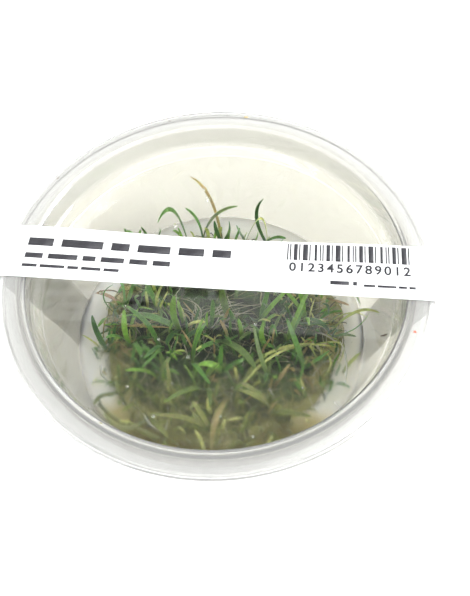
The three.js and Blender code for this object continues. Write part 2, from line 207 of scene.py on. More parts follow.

# Runners, stems and loose roots drawn from life: start, middle, end, width and tone
# The deep tone is painted shade, for stems that lie in shadow
THREADS = (
    ((23.4, -6.0, 20.3), (14.2, -10.0, 20.8), (6.9, -18.2, 18.5), 0.9, "lime"),
    ((24.6, -5.6, 20.3), (31.4, -5.6, 20.6), (30.2, -10.6, 18.0), 0.7, "lime"),
    ((26.2, -6.2, 19.6), (28.8, -9.6, 18.6), (27.0, -13.4, 17.6), 0.5, "lime"),
    ((-28.4, -2.5, 17.5), (-20.8, -2.8, 18.7), (-13.1, -2.0, 17.5), 0.8, "tan"),
    ((26.2, -9.1, 17.0), (25.6, -11.2, 17.2), (23.9, -13.4, 16.5), 0.55, "root"),
    ((23.0, -17.4, 17.0), (23.9, -19.0, 17.2), (24.8, -20.8, 16.5), 0.5, "root"),
    ((-27.9, 6.2, 20.0), (-30.5, 6.4, 20.6), (-34.1, 5.8, 19.5), 0.6, "rust"),
    ((-29.0, 2.0, 17.0), (-31.4, 4.6, 20.4), (-29.4, 8.2, 20.6), 0.5, "leaf"),
    ((17.0, 0.8, 19.6), (22.7, 0.1, 20.4), (28.4, 1.0, 19.6), 1.0, "deep"),
    ((26.4, 6.6, 20.0), (27.7, 5.6, 20.4), (27.9, 4.3, 19.0), 0.9, "deep"),
    ((27.6, 2.2, 17.0), (33.0, 3.4, 21.4), (37.2, 1.2, 23.6), 0.5, "lime"),
    ((29.0, -1.0, 16.6), (34.4, -0.8, 20.6), (38.0, 3.0, 23.0), 0.4, "leaf"),
    ((-28.9, -9.7, 16.5), (-25.9, -7.6, 18.2), (-23.2, -9.3, 16.5), 0.6, "tan"),
    ((-25.6, -11.0, 16.0), (-22.0, -9.1, 17.7), (-18.5, -9.9, 16.0), 0.5, "rust"),
    ((-30.2, -5.7, 16.5), (-30.4, -2.3, 17.8), (-29.9, 0.7, 17.0), 0.5, "tan"),
    ((-28.0, -23.2, 15.2), (-27.3, -23.8, 20.0), (-23.9, -22.8, 19.0), 0.8, "deep"),
    ((-28.4, -23.7, 15.5), (-24.2, -27.2, 16.7), (-19.6, -29.2, 15.5), 1.2, "deep"),
    ((-20.2, -28.3, 15.5), (-15.5, -30.9, 16.7), (-11.8, -31.5, 15.5), 1.2, "moss"),
    ((-8.5, -1.9, 18.6), (-6.1, -1.3, 20.2), (-3.3, -1.2, 19.8), 1.2, "lime"),
    ((-11.8, -9.5, 17.6), (-10.8, -10.8, 19.2), (-10.0, -11.4, 17.6), 1.0, "bright"),
    ((4.4, -12.0, 18.2), (5.9, -11.8, 20.2), (7.4, -10.8, 19.8), 1.4, "leaf"),
)
# Leaf tips that show behind the band, drawn from life in the same way
SPRIGS = (
    ((-27.2, 21.6, 13.3), (-28.0, 24.0, 19.8), (-28.6, 24.4, 24.0), 0.9, "leaf"),
    ((-25.4, 23.0, 13.3), (-25.4, 26.7, 18.0), (-24.7, 26.6, 20.5), 1.0, "bright"),
    ((-24.0, 26.4, 13.8), (-22.7, 25.8, 18.0), (-22.0, 25.0, 20.5), 0.8, "moss"),
    ((-21.7, 26.6, 13.8), (-19.8, 27.7, 18.0), (-19.6, 28.0, 20.5), 0.9, "leaf"),
    ((-15.4, 26.7, 13.8), (-14.3, 26.7, 18.0), (-13.7, 26.3, 20.5), 1.1, "lime"),
    ((-12.5, 26.9, 13.8), (-13.8, 27.8, 18.0), (-14.5, 28.3, 20.5), 0.8, "bright"),
    ((-9.7, 27.1, 13.8), (-10.1, 27.3, 18.0), (-11.0, 27.2, 20.5), 0.9, "lime"),
    ((-6.3, 27.3, 13.8), (-6.2, 28.6, 18.0), (-7.0, 28.8, 20.5), 1.3, "lime"),
    ((-4.9, 27.8, 13.8), (-4.0, 28.9, 18.0), (-4.0, 29.0, 20.5), 1.2, "bright"),
    ((-3.1, 27.5, 13.8), (-3.0, 29.0, 18.0), (-2.3, 29.4, 20.5), 1.4, "lime"),
    ((-1.1, 27.7, 13.8), (-0.2, 28.3, 18.0), (-0.2, 28.9, 20.5), 1.0, "bright"),
    ((0.9, 27.8, 13.8), (2.2, 29.0, 18.0), (2.8, 29.2, 20.5), 1.2, "leaf"),
    ((2.8, 27.9, 13.8), (4.3, 28.3, 18.0), (4.9, 27.9, 20.5), 1.1, "lime"),
    ((6.3, 28.2, 13.8), (7.7, 28.2, 18.0), (7.9, 28.4, 20.5), 1.2, "bright"),
    ((9.1, 28.0, 13.8), (10.5, 27.7, 18.0), (11.4, 26.6, 20.5), 1.1, "lime"),
    ((12.8, 27.9, 13.8), (14.5, 27.3, 18.0), (15.0, 26.2, 20.5), 1.0, "leaf"),
)
# Specks and fibres on the lid, and wet streaks under its front, drawn from life in the same way
SPECKS = (
    ((-42.3, 23.4, 45.05), (-42.0, 23.5, 45.15), (-41.7, 23.6, 45.05), 0.4, "dirt"),
    ((-16.9, 44.7, 45.05), (-16.5, 44.8, 45.15), (-16.1, 44.8, 45.05), 0.5, "dirt"),
    ((2.9, 47.4, 45.05), (3.4, 47.4, 45.15), (3.9, 47.3, 45.05), 0.5, "tan"),
    ((44.3, -14.3, 45.05), (44.6, -14.3, 45.15), (44.9, -14.4, 45.05), 0.5, "ember"),
    ((38.7, -10.7, 36.0), (39.5, -10.5, 36.1), (40.2, -10.1, 36.0), 0.5, "dirt"),
    ((-19.8, -39.9, 45.05), (-19.5, -40.0, 45.15), (-19.2, -40.1, 45.05), 0.3, "dirt"),
    ((-25.1, 23.6, 36.0), (-24.8, 23.7, 36.1), (-24.5, 23.6, 36.0), 0.3, "dirt"),
    ((-15.4, 32.2, 36.0), (-13.6, 34.4, 36.2), (-11.0, 37.2, 36.0), 0.14, "root"),
    ((-37.0, 14.7, 36.0), (-34.4, 18.6, 36.2), (-32.9, 21.6, 36.0), 0.14, "root"),
    ((16.2, 30.8, 36.0), (16.6, 32.0, 36.1), (17.4, 32.6, 36.0), 0.16, "root"),
)
STREAKS = (
    ((-12.8, -33.5, 35.0), (-11.6, -35.4, 34.9), (-9.6, -36.9, 35.0), 0.6),
    ((13.9, -25.2, 35.0), (14.5, -26.2, 34.9), (15.2, -27.3, 35.0), 0.5),
    ((29.6, -12.4, 35.0), (31.0, -17.4, 34.9), (30.6, -23.0, 35.0), 0.5),
    ((28.3, -27.4, 35.0), (29.0, -27.8, 34.9), (29.6, -28.6, 35.0), 0.6),
    ((-24.6, -22.4, 35.0), (-23.8, -24.6, 34.9), (-22.2, -26.2, 35.0), 0.6),
)
# Bubbles on the leaves: place and radius
BUBBLES = (
    ((-6.2, 33.8, 27.0), 0.7),
    ((-7.0, 34.8, 30.0), 0.55),
    ((-14.5, 25.6, 25.0), 0.6),
    ((-32.4, 5.9, 20.2), 0.5),
    ((12.1, 9.1, 24.6), 0.5),
    ((-10.9, -1.1, 31.2), 0.4),
)

# The fan of roots over the bare patch. Reach, rise and width give the least and what chance may add to it
FAN = {
    "roots": 22,
    "from": (-8.5, -1.8, 16.0),
    "spread": 6.0,
    "left": -16.0,
    "right": 13.0,
    "back": 10.5,
    "reach": (0.4, 0.6),
    "end": 16.2,
    "sway": (9, 2),
    "rise": (1.4, 1.8),
    "width": (0.18, 0.2),
}
# Litter: how many scraps, two corners of the patch that they lie in, and their tones
LITTER = (
    (34, (-31.0, -13.0), (-17.0, 1.0), ("tan", "khaki", "moss")),
    (40, (23.0, -16.0), (31.0, 8.0), ("root", "tan", "lime")),
    (70, (-24.0, -33.0), (24.0, -14.0), ("khaki", "tan", "moss")),
)
# A scrap of litter. Length and width give the least and what chance may add to it
SCRAP = {"length": (1.2, 2.4), "lift": 0.6, "heap": 1.4, "width": (0.3, 0.5), "reach": 33.5}

# Outline of the root mat from its middle over the top and down to its underside: radius, height
MAT_OUTLINE = (
    (0, 15.4),
    (12, 15.2),
    (22, 14.6),
    (31, 13.6),
    (32.2, 12.4),
    (32, 8),
    (30.4, 3.4),
    (29, 2.2),
    (0, 2.2),
)
MAT_SHOULDER = 12.0
MAT_LUMPS = (5, 2.1)

CROWN_RADIUS = 1.3
CROWN_SINK = 0.9
LEAF_FOOT = 0.62
LEAF_CLEARANCE = 0.45
# How late a solid leaf narrows to its tip
LEAF_POINT = 5
# A grown blade's half width: what all of it has and what its middle adds, as shares of the leaf's width, and
# how late it narrows
STRAP = {"even": 0.32, "swell": 0.08, "blunt": 8}
GOLDEN = math.pi * (3 - math.sqrt(5))

# The crowd of plantlets between the ones drawn from life. Lengths and lean are given in the same way
CROWD = {
    "seed": 20260,
    "crowns": 38,
    "radius": 29.5,
    "spacing": 3.7,
    "leaves": 3,
    "fewest": 2,
    "tries": 14,
    "length": (8, 10),
    "back_row": 10,
    "back_length": (4, 5),
    "lean": (0.3, 0.5),
    "middle": 0.36,
    "thinnest": 1.1,
    "widest": 1.9,
    "sway": 0.9,
    "highest": 33.6,
    "back_slope": 0.72,
    "back_reach": 30.5,
    "off_wall": 1.4,
    "off_gel": 2.2,
    # Painted shade: the deep tone stands for leaves in shadow
    "tones": ((0.2, "bright"), (0.5, "leaf"), (0.75, "moss"), (1, "deep")),
}
# The short leaves between the crowns. Length, lean and width give the least and what chance may add to it
UNDERGROWTH = {
    "count": 620,
    "radius": 31.5,
    "swing": 0.6,
    "front": -5,
    "front_spread": 1.08,
    "length": (3, 5.5),
    "lean": (0.25, 0.6),
    "middle": 0.35,
    "width": (0.5, 0.8),
    "bare_patch": 0.9,
    "bare_share": 0.12,
    "sunk": 0.4,
    "back_shrink": 0.55,
    "off_wall": 1,
    # Painted shade: the deep tone stands for leaves in shadow
    "tones": ("moss", "deep", "leaf", "deep", "moss", "bright", "leaf", "leaf", "deep", "lime", "tan"),
}
ROOT_WINDOW = (1, 7.5, 14, 6)
SAMPLES = (0.12, 0.24, 0.36, 0.48, 0.6, 0.72, 0.84, 0.95)


def wall_radius(z):
    """Radius of the cup's inner wall at a height."""
    return BASE_RADIUS + (WALL_TOP_RADIUS - BASE_RADIUS) / (WALL_TOP - FOOT_TOP) * (z - FOOT_TOP)


def draws(seed):
    """Random numbers from 0 to 1, the same on each run."""
    factor, step, period = 1664525, 1013904223, 2 ** 32
    while True:
        seed = (seed * factor + step) % period
        yield seed / period


def mat_swell(angle):
    """The mat isn't round: its radius swells and shrinks around the clump."""
    return 1 + 0.03 * math.sin(3 * angle + 1) + 0.018 * math.sin(7 * angle)


def mat_top(x, y):
    """Height of the mat's top at a place."""
    r = math.hypot(x, y) / mat_swell(math.atan2(y, x))
    for (r0, z0), (r1, z1) in zip(MAT_OUTLINE, MAT_OUTLINE[1:]):
        if r <= r1:
            return z0 + (z1 - z0) * (r - r0) / (r1 - r0)
    return MAT_SHOULDER


def crown_foot(x, y):
    """Where a crown's leaves start, just above the mat."""
    inward = max(0, 1 - CROWN_RADIUS / math.hypot(x, y))
    return (x, y, mat_top(x * inward, y * inward) + GAP + CROWN_SINK)


def leaf_point(leaf, t):
    """A point on the parabola through a leaf's foot, middle and tip."""
    a = (1 - t) * (1 - 2 * t)
    b = 4 * t * (1 - t)
    c = t * (2 * t - 1)
    return Vector([a * f + b * m + c * p for f, m, p in zip(leaf["foot"], leaf["mid"], leaf["tip"])])


def leaf_half(leaf, t):
    """Half the blade's width: narrow at the foot, widest past the middle, pointed at the tip."""
    swell = LEAF_FOOT + (1 - LEAF_FOOT) * math.sin(math.pi * t)
    return leaf["width"] / 2 * swell * math.sqrt(max(0, 1 - t ** LEAF_POINT))


def strap_half(leaf, t):
    """Half the width of the grown blade: a nearly even strap with a blunt tip, inside the solid leaf."""
    swell = STRAP["even"] + STRAP["swell"] * math.sin(math.pi * t)
    return leaf["width"] * swell * math.sqrt(max(0, 1 - t ** STRAP["blunt"]))


def places_of(leaf):
    """The places along a leaf that others keep clear of, each with the blade's half width."""
    return [(leaf_point(leaf, t), leaf_half(leaf, t)) for t in SAMPLES]


def stands_clear(places, standing):
    """Whether a leaf's places keep clear of the leaves that already stand."""
    return all(
        (p - q).length >= half + other_half + LEAF_CLEARANCE
        for other in standing
        for p, half in places
        for q, other_half in other
    )


def under_slope(y, z):
    """Whether a place stays under the slope that the back of the clump keeps to."""
    return y + CROWD["back_slope"] * (z - GEL_TOP) < CROWD["back_reach"]


def has_room(leaf):
    """Whether a leaf stays off the wall and the gel, and under the slope at the back."""
    for t in (0.5, 0.75, 1):
        x, y, z = leaf_point(leaf, t)
        if math.hypot(x, y) >= wall_radius(z) - CROWD["off_wall"]:
            return False
        if z <= GEL_TOP + CROWD["off_gel"] or not under_slope(y, z):
            return False
    return True


def some(draw, least, extra):
    """A random number from the least up to the least and the extra together."""
    return least + extra * next(draw)


def arched(foot, turns, reach, rise, middle, width, tone):
    """A leaf that leans out from its foot. Its turns are the ways that its middle and its tip lie in."""
    x, y, z = foot
    (mid_x, mid_y), (tip_x, tip_y) = [(math.cos(turn), math.sin(turn)) for turn in turns]
    mid = (x + middle * reach * mid_x, y + middle * reach * mid_y, z + (1 - middle) * rise)
    tip = (x + reach * tip_x, y + reach * tip_y, z + rise)
    return {"foot": foot, "mid": mid, "tip": tip, "width": width, "tone": tone}


def crowd_leaf(foot, turn, draw):
    """A leaf of the crowd, leaning away from its crown and no higher than the lid lets it."""
    length = some(draw, *CROWD["back_length" if foot[1] > CROWD["back_row"] else "length"])
    reach = length * some(draw, *CROWD["lean"])
    rise = min(math.sqrt(length * length - reach * reach), CROWD["highest"] - foot[2])
    swayed = turn + CROWD["sway"] * (next(draw) - 0.5)
    width = CROWD["thinnest"] + (CROWD["widest"] - CROWD["thinnest"]) * next(draw)
    shade = next(draw)
    tone = next(name for most, name in CROWD["tones"] if shade < most)
    return arched(foot, (turn, swayed), reach, rise, CROWD["middle"], width, tone)


def patch_reach(x, y):
    """How far a place lies from the middle of the bare patch of roots: 1 on the patch's edge."""
    middle_x, middle_y, half_x, half_y = ROOT_WINDOW
    return math.hypot((x - middle_x) / half_x, (y - middle_y) / half_y)


def crown_fits(x, y, plantlets):
    """Whether a new crown stands clear of the others and outside the bare patch of roots."""
    feet = [plantlet[0]["foot"] for plantlet in plantlets]
    apart = all(math.hypot(foot[0] - x, foot[1] - y) >= CROWD["spacing"] for foot in feet)
    return apart and patch_reach(x, y) >= 1


def drawn(rows):
    """Leaves from rows of foot, middle, tip, width and tone."""
    return [{"foot": a, "mid": b, "tip": c, "width": w, "tone": tone} for a, b, c, w, tone in rows]


def grow_plantlets():
    """All plantlets as lists of leaves: the ones drawn from life, then the crowd on a sunflower spiral."""
    plantlets = [drawn((crown_foot(*place), *leaf) for leaf in leaves) for place, leaves in SEEN]
    standing = [places_of(leaf) for plantlet in plantlets for leaf in plantlet]
    draw = draws(CROWD["seed"])
    for i in range(CROWD["crowns"]):
        r = CROWD["radius"] * math.sqrt((i + 0.5) / CROWD["crowns"])
        x, y = r * math.cos(i * GOLDEN), r * math.sin(i * GOLDEN)
        if not crown_fits(x, y, plantlets):
            continue
        foot = crown_foot(x, y)
        grown = []
        for _ in range(CROWD["tries"]):
            if len(grown) == CROWD["leaves"]:
                break
            leaf = crowd_leaf(foot, 2 * math.pi * next(draw), draw)
            if has_room(leaf) and stands_clear(places_of(leaf), standing):
                grown.append(leaf)
        if len(grown) >= CROWD["fewest"]:
            standing += [places_of(leaf) for leaf in grown]
            plantlets.append(grown)
    return plantlets


def linear(code):
    """A colour's sRGB hex code as linear red, green and blue."""
    parts = [int(code[i:i + 2], 16) / 255 for i in (0, 2, 4)]
    return tuple(c / 12.92 if c <= 0.04045 else ((c + 0.055) / 1.055) ** 2.4 for c in parts)


def solid(rgb):
    """A colour with full alpha, as node sockets take it."""
    return (*rgb[:3], 1.0)


def add_node(tree, kind, inputs=None, stops=None, **settings):
    """Adds a node with its settings. An input takes a value, or an output socket that it is linked from."""
    made = tree.nodes.new(kind)
    for name, value in settings.items():
        setattr(made, name, value)
    for key, value in (inputs or {}).items():
        if isinstance(value, bpy.types.NodeSocket):
            tree.links.new(value, made.inputs[key])
        else:
            made.inputs[key].default_value = value
    for i, (place, rgb) in enumerate(stops or ()):
        elements = made.color_ramp.elements
        element = elements[i] if i < 2 else elements.new(place)
        element.position = place
        element.color = solid(rgb)
    return made


def socket(tree, kind, inputs=None, stops=None, **settings):
    """Adds a node and gives its first output."""
    return add_node(tree, kind, inputs, stops, **settings).outputs[0]


def calc(tree, operation, *values):
    """Reckons with numbers: each value is a number or an output."""
    return socket(tree, "ShaderNodeMath", dict(enumerate(values)), operation=operation)


def scaled(tree, vector, factor):
    """A vector or a colour times a number."""
    return socket(tree, "ShaderNodeVectorMath", {0: vector, "Scale": factor}, operation="SCALE")


def remap(tree, value, low=0.0, high=1.0, to_low=0.0, to_high=1.0, **settings):
    """Carries a value over from one range to another."""
    ends = {"From Min": low, "From Max": high, "To Min": to_low, "To Max": to_high}
    return socket(tree, "ShaderNodeMapRange", {"Value": value, **ends}, **settings)


def on_piece(tree):
    """Where a point lies on its piece, for textures that stay on it."""
    return add_node(tree, "ShaderNodeTexCoord").outputs["Object"]


def split(tree, vector):
    """A vector's parts, by the names of their axes."""
    return add_node(tree, "ShaderNodeSeparateXYZ", {"Vector": vector}).outputs


def off_axis(tree, parts):
    """How far a point lies from the cup's axis."""
    across = socket(tree, "ShaderNodeCombineXYZ", {"X": parts["X"], "Y": parts["Y"]})
    return add_node(tree, "ShaderNodeVectorMath", {0: across}, operation="LENGTH").outputs["Value"]


def cloudy(tree, where, size, detail=2.0):
    """Cloudy noise from 0 to 1, in patches of a size in millimetres."""
    return socket(tree, "ShaderNodeTexNoise", {"Vector": where, "Scale": 1 / (size * MM), "Detail": detail})


def bump(tree, height, strength, depth, **more):
    """Relief from a height, with its depth in millimetres."""
    ends = {"Strength": strength, "Distance": depth * MM, "Height": height}
    return socket(tree, "ShaderNodeBump", {**ends, **more})


def ramp(tree, share_along, stops):
    """A colour from a row of places and colours."""
    return socket(tree, "ShaderNodeValToRGB", {"Fac": share_along}, stops)


def blended(tree, share_second, first, second):
    """Two colours mixed."""
    ends = {0: share_second, 6: first, 7: second}
    return add_node(tree, "ShaderNodeMix", ends, data_type="RGBA").outputs[2]


def named(tree, name, kind):
    """A named attribute in a Geometry Nodes tree."""
    return socket(tree, "GeometryNodeInputNamedAttribute", {"Name": name}, data_type=kind)


def stored(tree, shape, name, value, **settings):
    """A shape that keeps a value under a name."""
    kept = {"Geometry": shape, "Name": name, "Value": value}
    return socket(tree, "GeometryNodeStoreNamedAttribute", kept, **settings)


def chance(tree, least, most, seed):
    """A random number for each point."""
    return add_node(tree, "FunctionNodeRandomValue", {2: least, 3: most, "Seed": seed}).outputs[1]


def new_material(name):
    """An empty node material."""
    made = bpy.data.materials.new(name)
    made.use_nodes = True
    made.node_tree.nodes.clear()
    return made, made.node_tree


def end_material(made, surface, absorbs=None):
    """Ends a material with its surface, and the colour and density that a clear body takes up light with."""
    tree = made.node_tree
    ends = {"Surface": socket(tree, "ShaderNodeBsdfPrincipled", surface)}
    if absorbs:
        ends["Volume"] = socket(tree, "ShaderNodeVolumeAbsorption", dict(zip(("Color", "Density"), absorbs)))
    add_node(tree, "ShaderNodeOutputMaterial", ends)
    return made


def new_tree(name, sockets):
    """A Geometry Nodes tree with its named inputs, and the node that gives them."""
    tree = bpy.data.node_groups.new(name, "GeometryNodeTree")
    tree.interface.new_socket("Geometry", in_out="INPUT", socket_type="NodeSocketGeometry")
    for label, kind, default in sockets:
        given = tree.interface.new_socket(label, in_out="INPUT", socket_type="NodeSocket" + kind)
        given.default_value = default
    tree.interface.new_socket("Material", in_out="INPUT", socket_type="NodeSocketMaterial")
    tree.interface.new_socket("Geometry", in_out="OUTPUT", socket_type="NodeSocketGeometry")
    return tree, add_node(tree, "NodeGroupInput").outputs


def end_tree(tree, given, shape):
    """Ends a tree: smooth faces, real meshes in place of instances, and the material."""
    smooth = socket(tree, "GeometryNodeSetShadeSmooth", {"Geometry": shape})
    real = socket(tree, "GeometryNodeRealizeInstances", {"Geometry": smooth})
    painted = socket(tree, "GeometryNodeSetMaterial", {"Geometry": real, "Material": given["Material"]})
    add_node(tree, "NodeGroupOutput", {"Geometry": painted})
    return tree


def new_object(name, mesh):
    """An object at the origin that holds a mesh."""
    made = bpy.data.objects.new(name, mesh)
    bpy.context.scene.collection.objects.link(made)
    return made


def run_tree(name, source, tree, **values):
    """Runs a node tree on a mesh and gives the result as an object with a plain mesh."""
    made = new_object(name, source)
    modifier = made.modifiers.new("nodes", "NODES")
    modifier.node_group = tree
    for item in tree.interface.items_tree:
        label = item.name.lower().replace(" ", "_")
        if item.in_out == "INPUT" and label in values:
            modifier[item.identifier] = values[label]
    graph = bpy.context.evaluated_depsgraph_get()
    shape = made.evaluated_get(graph)
    result = bpy.data.meshes.new_from_object(shape, preserve_all_data_layers=True, depsgraph=graph)
    made.modifiers.remove(modifier)
    made.data = result
    result.name = name
    if not result.polygons:
        raise RuntimeError(f"{name}: the node tree made no faces")
    return made


def finished(name, bm, material, smooth=True):
    """A closed bmesh as an object, with its normals out."""
    bmesh.ops.recalc_face_normals(bm, faces=bm.faces)
    mesh = bpy.data.meshes.new(name)
    bm.to_mesh(mesh)
    bm.free()
    mesh.materials.append(material)
    if smooth:
        mesh.shade_smooth()
    return new_object(name, mesh)


def own(piece, slot, *nodes):
    """Rides a piece on the cup's body and hides the frame nodes that it stands for. The slot is not used."""
    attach(piece, ROOT)
    if nodes:
        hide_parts(*nodes)


# Points of an outline that are nearer than this to the axis lie on it
ON_AXIS = 1e-6
# A rounded corner takes up no more than this share of the stretch on either side of it
BEND_SHARE = 0.45


def rounded(outline, bend, cuts=4):
    """An outline of radius and height with its corners rounded. Points on the axis stay."""
    made = [outline[0]]
    for before, here, after in zip(outline, outline[1:], outline[2:]):
        p, q, s = Vector(before), Vector(here), Vector(after)
        back, on = p - q, s - q
        reach_back = min(bend, back.length * BEND_SHARE)
        reach_on = min(bend, on.length * BEND_SHARE)
        start = q + back.normalized() * reach_back
        end = q + on.normalized() * reach_on
        for i in range(cuts + 1):
            t = i / cuts
            made.append(tuple(start * (1 - t) ** 2 + q * 2 * t * (1 - t) + end * t * t))
    return made + [outline[-1]]


def turned(outline, steps=TURN_STEPS):
    """A bmesh turned round the Z axis from an outline of radius and height in millimetres."""
    bm = bmesh.new()
    rings = []
    for r, z in outline:
        if r < ON_AXIS:
            rings.append([bm.verts.new((0, 0, z * MM))] * steps)
            continue
        angles = [2 * math.pi * i / steps for i in range(steps)]
        rings.append([bm.verts.new((r * MM * math.cos(a), r * MM * math.sin(a), z * MM)) for a in angles])
    for lower, upper in zip(rings, rings[1:]):
        for i in range(steps):
            j = (i + 1) % steps
            corners = [lower[i], lower[j], upper[j], upper[i]]
            corners = [v for k, v in enumerate(corners) if v not in corners[:k]]
            if len(corners) > 2:
                bm.faces.new(corners)
    return bm


def length(name, description, default):
    """A size that a user may change, in metres, from millimetres."""
    return bpy.props.FloatProperty(
        name=name, description=description, default=default * MM, unit="LENGTH", precision=5
    )


def tint(name, description, code):
    """A colour that a user may change, from its sRGB hex code."""
    return bpy.props.FloatVectorProperty(
        name=name, description=description, default=linear(code), subtype="COLOR", size=3, min=0, max=1
    )


def share(name, description, default, most=1.0):
    """A share or a strength that a user may change."""
    return bpy.props.FloatProperty(name=name, description=description, default=default, min=0, max=most)


class VesselSettings(bpy.types.PropertyGroup):
    """Sizes and finish of the clear cup and its lid."""

    corner: length("Corner", "How far the moulded corners are rounded", 0.22)
    cup: tint("Cup", "What the cup's plastic lets through", "bdbbb1")
    lid: tint("Lid", "What the lid's plastic lets through", "fefefc")
    rim: tint("Rim", "What the plastic lets through along the rim, where it is thicker", "dcdcd9")
    milk: share("Milk", "How milky the cup's wall is", 0.03)
    haze: share("Haze", "How milky the rim is", 0.17)
    fog: share("Fog", "How rough the condensation makes the underside of the lid", 0.16)


class BandSettings(bpy.types.PropertyGroup):
    """Sizes and colours of the paper band and its print."""

    back_sag: length("Back sag", "How far the band's back edge sags into the lid's recess", 1.2)
    front_sag: length("Front sag", "How far the band's front edge sags into the lid's recess", 0.3)
    paper: tint("Paper", "The coated paper", "fcfcfd")
    ink: tint("Ink", "The print", "141318")


class GelSettings(bpy.types.PropertyGroup):
    """Height and colour of the agar."""

    top: length("Top", "Height of the gel's surface", GEL_TOP)
    meniscus: length("Meniscus", "How far the gel climbs up the wall", MENISCUS)
    agar: tint("Agar", "What the gel lets through", "efe6cc")
    density: share("Density", "How strongly the gel takes up light", 10.0, 1000.0)
    clear: share("Clear", "How much light passes the gel's face, the rest of which is cloudy", 0.05)


class RootSettings(bpy.types.PropertyGroup):
    """The root mat and its strands."""

    lumps: length("Lumps", "How far the mat's surface swells and sinks", 0.7)
    strand: length("Strand", "Radius of a root", 0.16)
    density: share("Density", "Roots on each square metre of the mat", 90000.0, 1e6)
    pale: tint("Pale root", "Living roots", "c2bfa6")
    dark: tint("Dark root", "Old roots and humus", "4b4a36")
    fringe: tint("Fringe", "Where the felt thins out into the gel", "d8cc9e")


class PlantSettings(bpy.types.PropertyGroup):
    """Shape and colours of the leaves."""

    thickness: share("Thickness", "A blade's thickness as a share of its width", 0.17)
    fold: share("Fold", "How far a blade's edges curl up", 0.2)
    bright: tint("Bright", "New leaves", "86b548")
    leaf: tint("Leaf", "Grown leaves", "5c8d3b")
    moss: tint("Moss", "Dull leaves", "6d8449")
    # Painted shade: the deep tone is the leaf green painted darker, for leaves that stand in shadow
    deep: tint("Deep", "Leaves in the shade", "376329")
    lime: tint("Lime", "Yellowing leaves", "ccd27e")
    khaki: tint("Khaki", "Old leaves at the front", "86814a")
    tan: tint("Tan", "Withered leaves", "b09a68")
    rust: tint("Rust", "Dead leaves", "b39274")
    root: tint("Root", "Loose roots", "b5ae98")
    dirt: tint("Dirt", "Specks on the lid", "5a5148")
    ember: tint("Ember", "The red speck on the lid", "c4502c")


class StageSettings(bpy.types.PropertyGroup):
    """The floor and the lights."""

    floor: tint("Floor", "The pale floor", "fafaf9")
    sky: share("Sky", "Strength of the soft light from all around", 2.1, 10.0)
    overhead: share("Overhead", "Strength of the soft light overhead", 14.0, 50.0)
    card: share("Card", "Strength of the light off the grey card", 0.3, 10.0)
    key: share("Key", "Power of the low soft light on the right, in watts", 3.0, 1000.0)


SETTINGS = (
    ("culture_vessel", VesselSettings),
    ("culture_band", BandSettings),
    ("culture_gel", GelSettings),
    ("culture_roots", RootSettings),
    ("culture_plants", PlantSettings),
    ("culture_stage", StageSettings),
)


def fog_share(tree, parts, settings):
    """How fogged a place is: only the underside of the lid's panel, at the front, with a cloudy edge."""
    where = on_piece(tree)
    cloud = cloudy(tree, where, 16, 4.0)
    drift = calc(tree, "MULTIPLY", cloud, 26 * MM)
    reach = calc(tree, "ADD", parts["Y"], drift)
    front = remap(tree, reach, -8 * MM, 3 * MM, settings.fog, 0.0)
    middle = (PANEL_TOP - SHEET / 2) * MM
    under = calc(tree, "LESS_THAN", parts["Z"], middle)
    return calc(tree, "MULTIPLY", front, under)


def plastic_material(name, settings, colour, milk, rim_from, fogged=False):
    """Injection moulded polypropylene: clear and glossy, a little milky where the rim is thick."""
    made, tree = new_material(name)
    where = on_piece(tree)
    parts = split(tree, where)
    radius = off_axis(tree, parts)
    rim = remap(tree, radius, rim_from * MM, (rim_from + 1.5) * MM)
    hue = ramp(tree, rim, ((0, colour), (1, settings.rim)))
    clear = remap(tree, rim, to_low=1.0 - milk, to_high=1.0 - settings.haze)
    # Moulding leaves shallow waves some 6 mm long, which bend the highlights
    waves = cloudy(tree, where, 6, 1.0)
    relief = bump(tree, waves, 0.25, 0.05)
    rough = remap(tree, waves, to_low=0.0, to_high=0.035)
    if fogged:
        # Condensation under the front: drops too fine to see apart blur and dull what lies below
        fog = fog_share(tree, parts, settings)
        drops = socket(tree, "ShaderNodeTexVoronoi", {"Vector": where, "Scale": 1 / (0.5 * MM)})
        relief = bump(tree, drops, fog, 0.03, Normal=relief)
        rough = calc(tree, "MAXIMUM", fog, rough)
    return end_material(made, {
        "Base Color": hue,
        "Roughness": rough,
        "IOR": 1.49,
        "Transmission Weight": clear,
        "Normal": relief,
    }, (solid(linear("efefeb")), 30.0))


def cup_outline():
    """The cup from the middle of its underside, up its outside, over the rolled rim and down its inside."""
    top = LID_TOP
    return (
        (0, 0),
        (BASE_RADIUS - 1.2, 0),
        (BASE_RADIUS + 0.1, 0.7),
        (BASE_RADIUS + WALL, 2.2),
        (WALL_TOP_RADIUS + WALL, WALL_TOP - 0.2),
        (WALL_TOP_RADIUS + WALL + 0.4, WALL_TOP + 0.9),
        (WALL_TOP_RADIUS + WALL + 0.4, top - 2.1),
        (WALL_TOP_RADIUS + WALL + 0.9, top - 1.6),
        (LID_RADIUS - 1.5, top - 1.6),
        (LID_RADIUS - 1.5, top - 2.4),
        (LID_RADIUS - 0.9, top - 2.4),
        (LID_RADIUS - 0.9, top - 1.3),
        (LID_RADIUS - 1.4, top - 0.9),
        (WALL_TOP_RADIUS + 0.9, top - 0.9),
        (WALL_TOP_RADIUS + 0.4, top - 1.4),
        (WALL_TOP_RADIUS + 0.4, WALL_TOP + 1.1),
        (WALL_TOP_RADIUS, WALL_TOP),
        (BASE_RADIUS, FOOT_TOP),
        (BASE_RADIUS - 1.6, FLOOR),
        (0, FLOOR),
    )


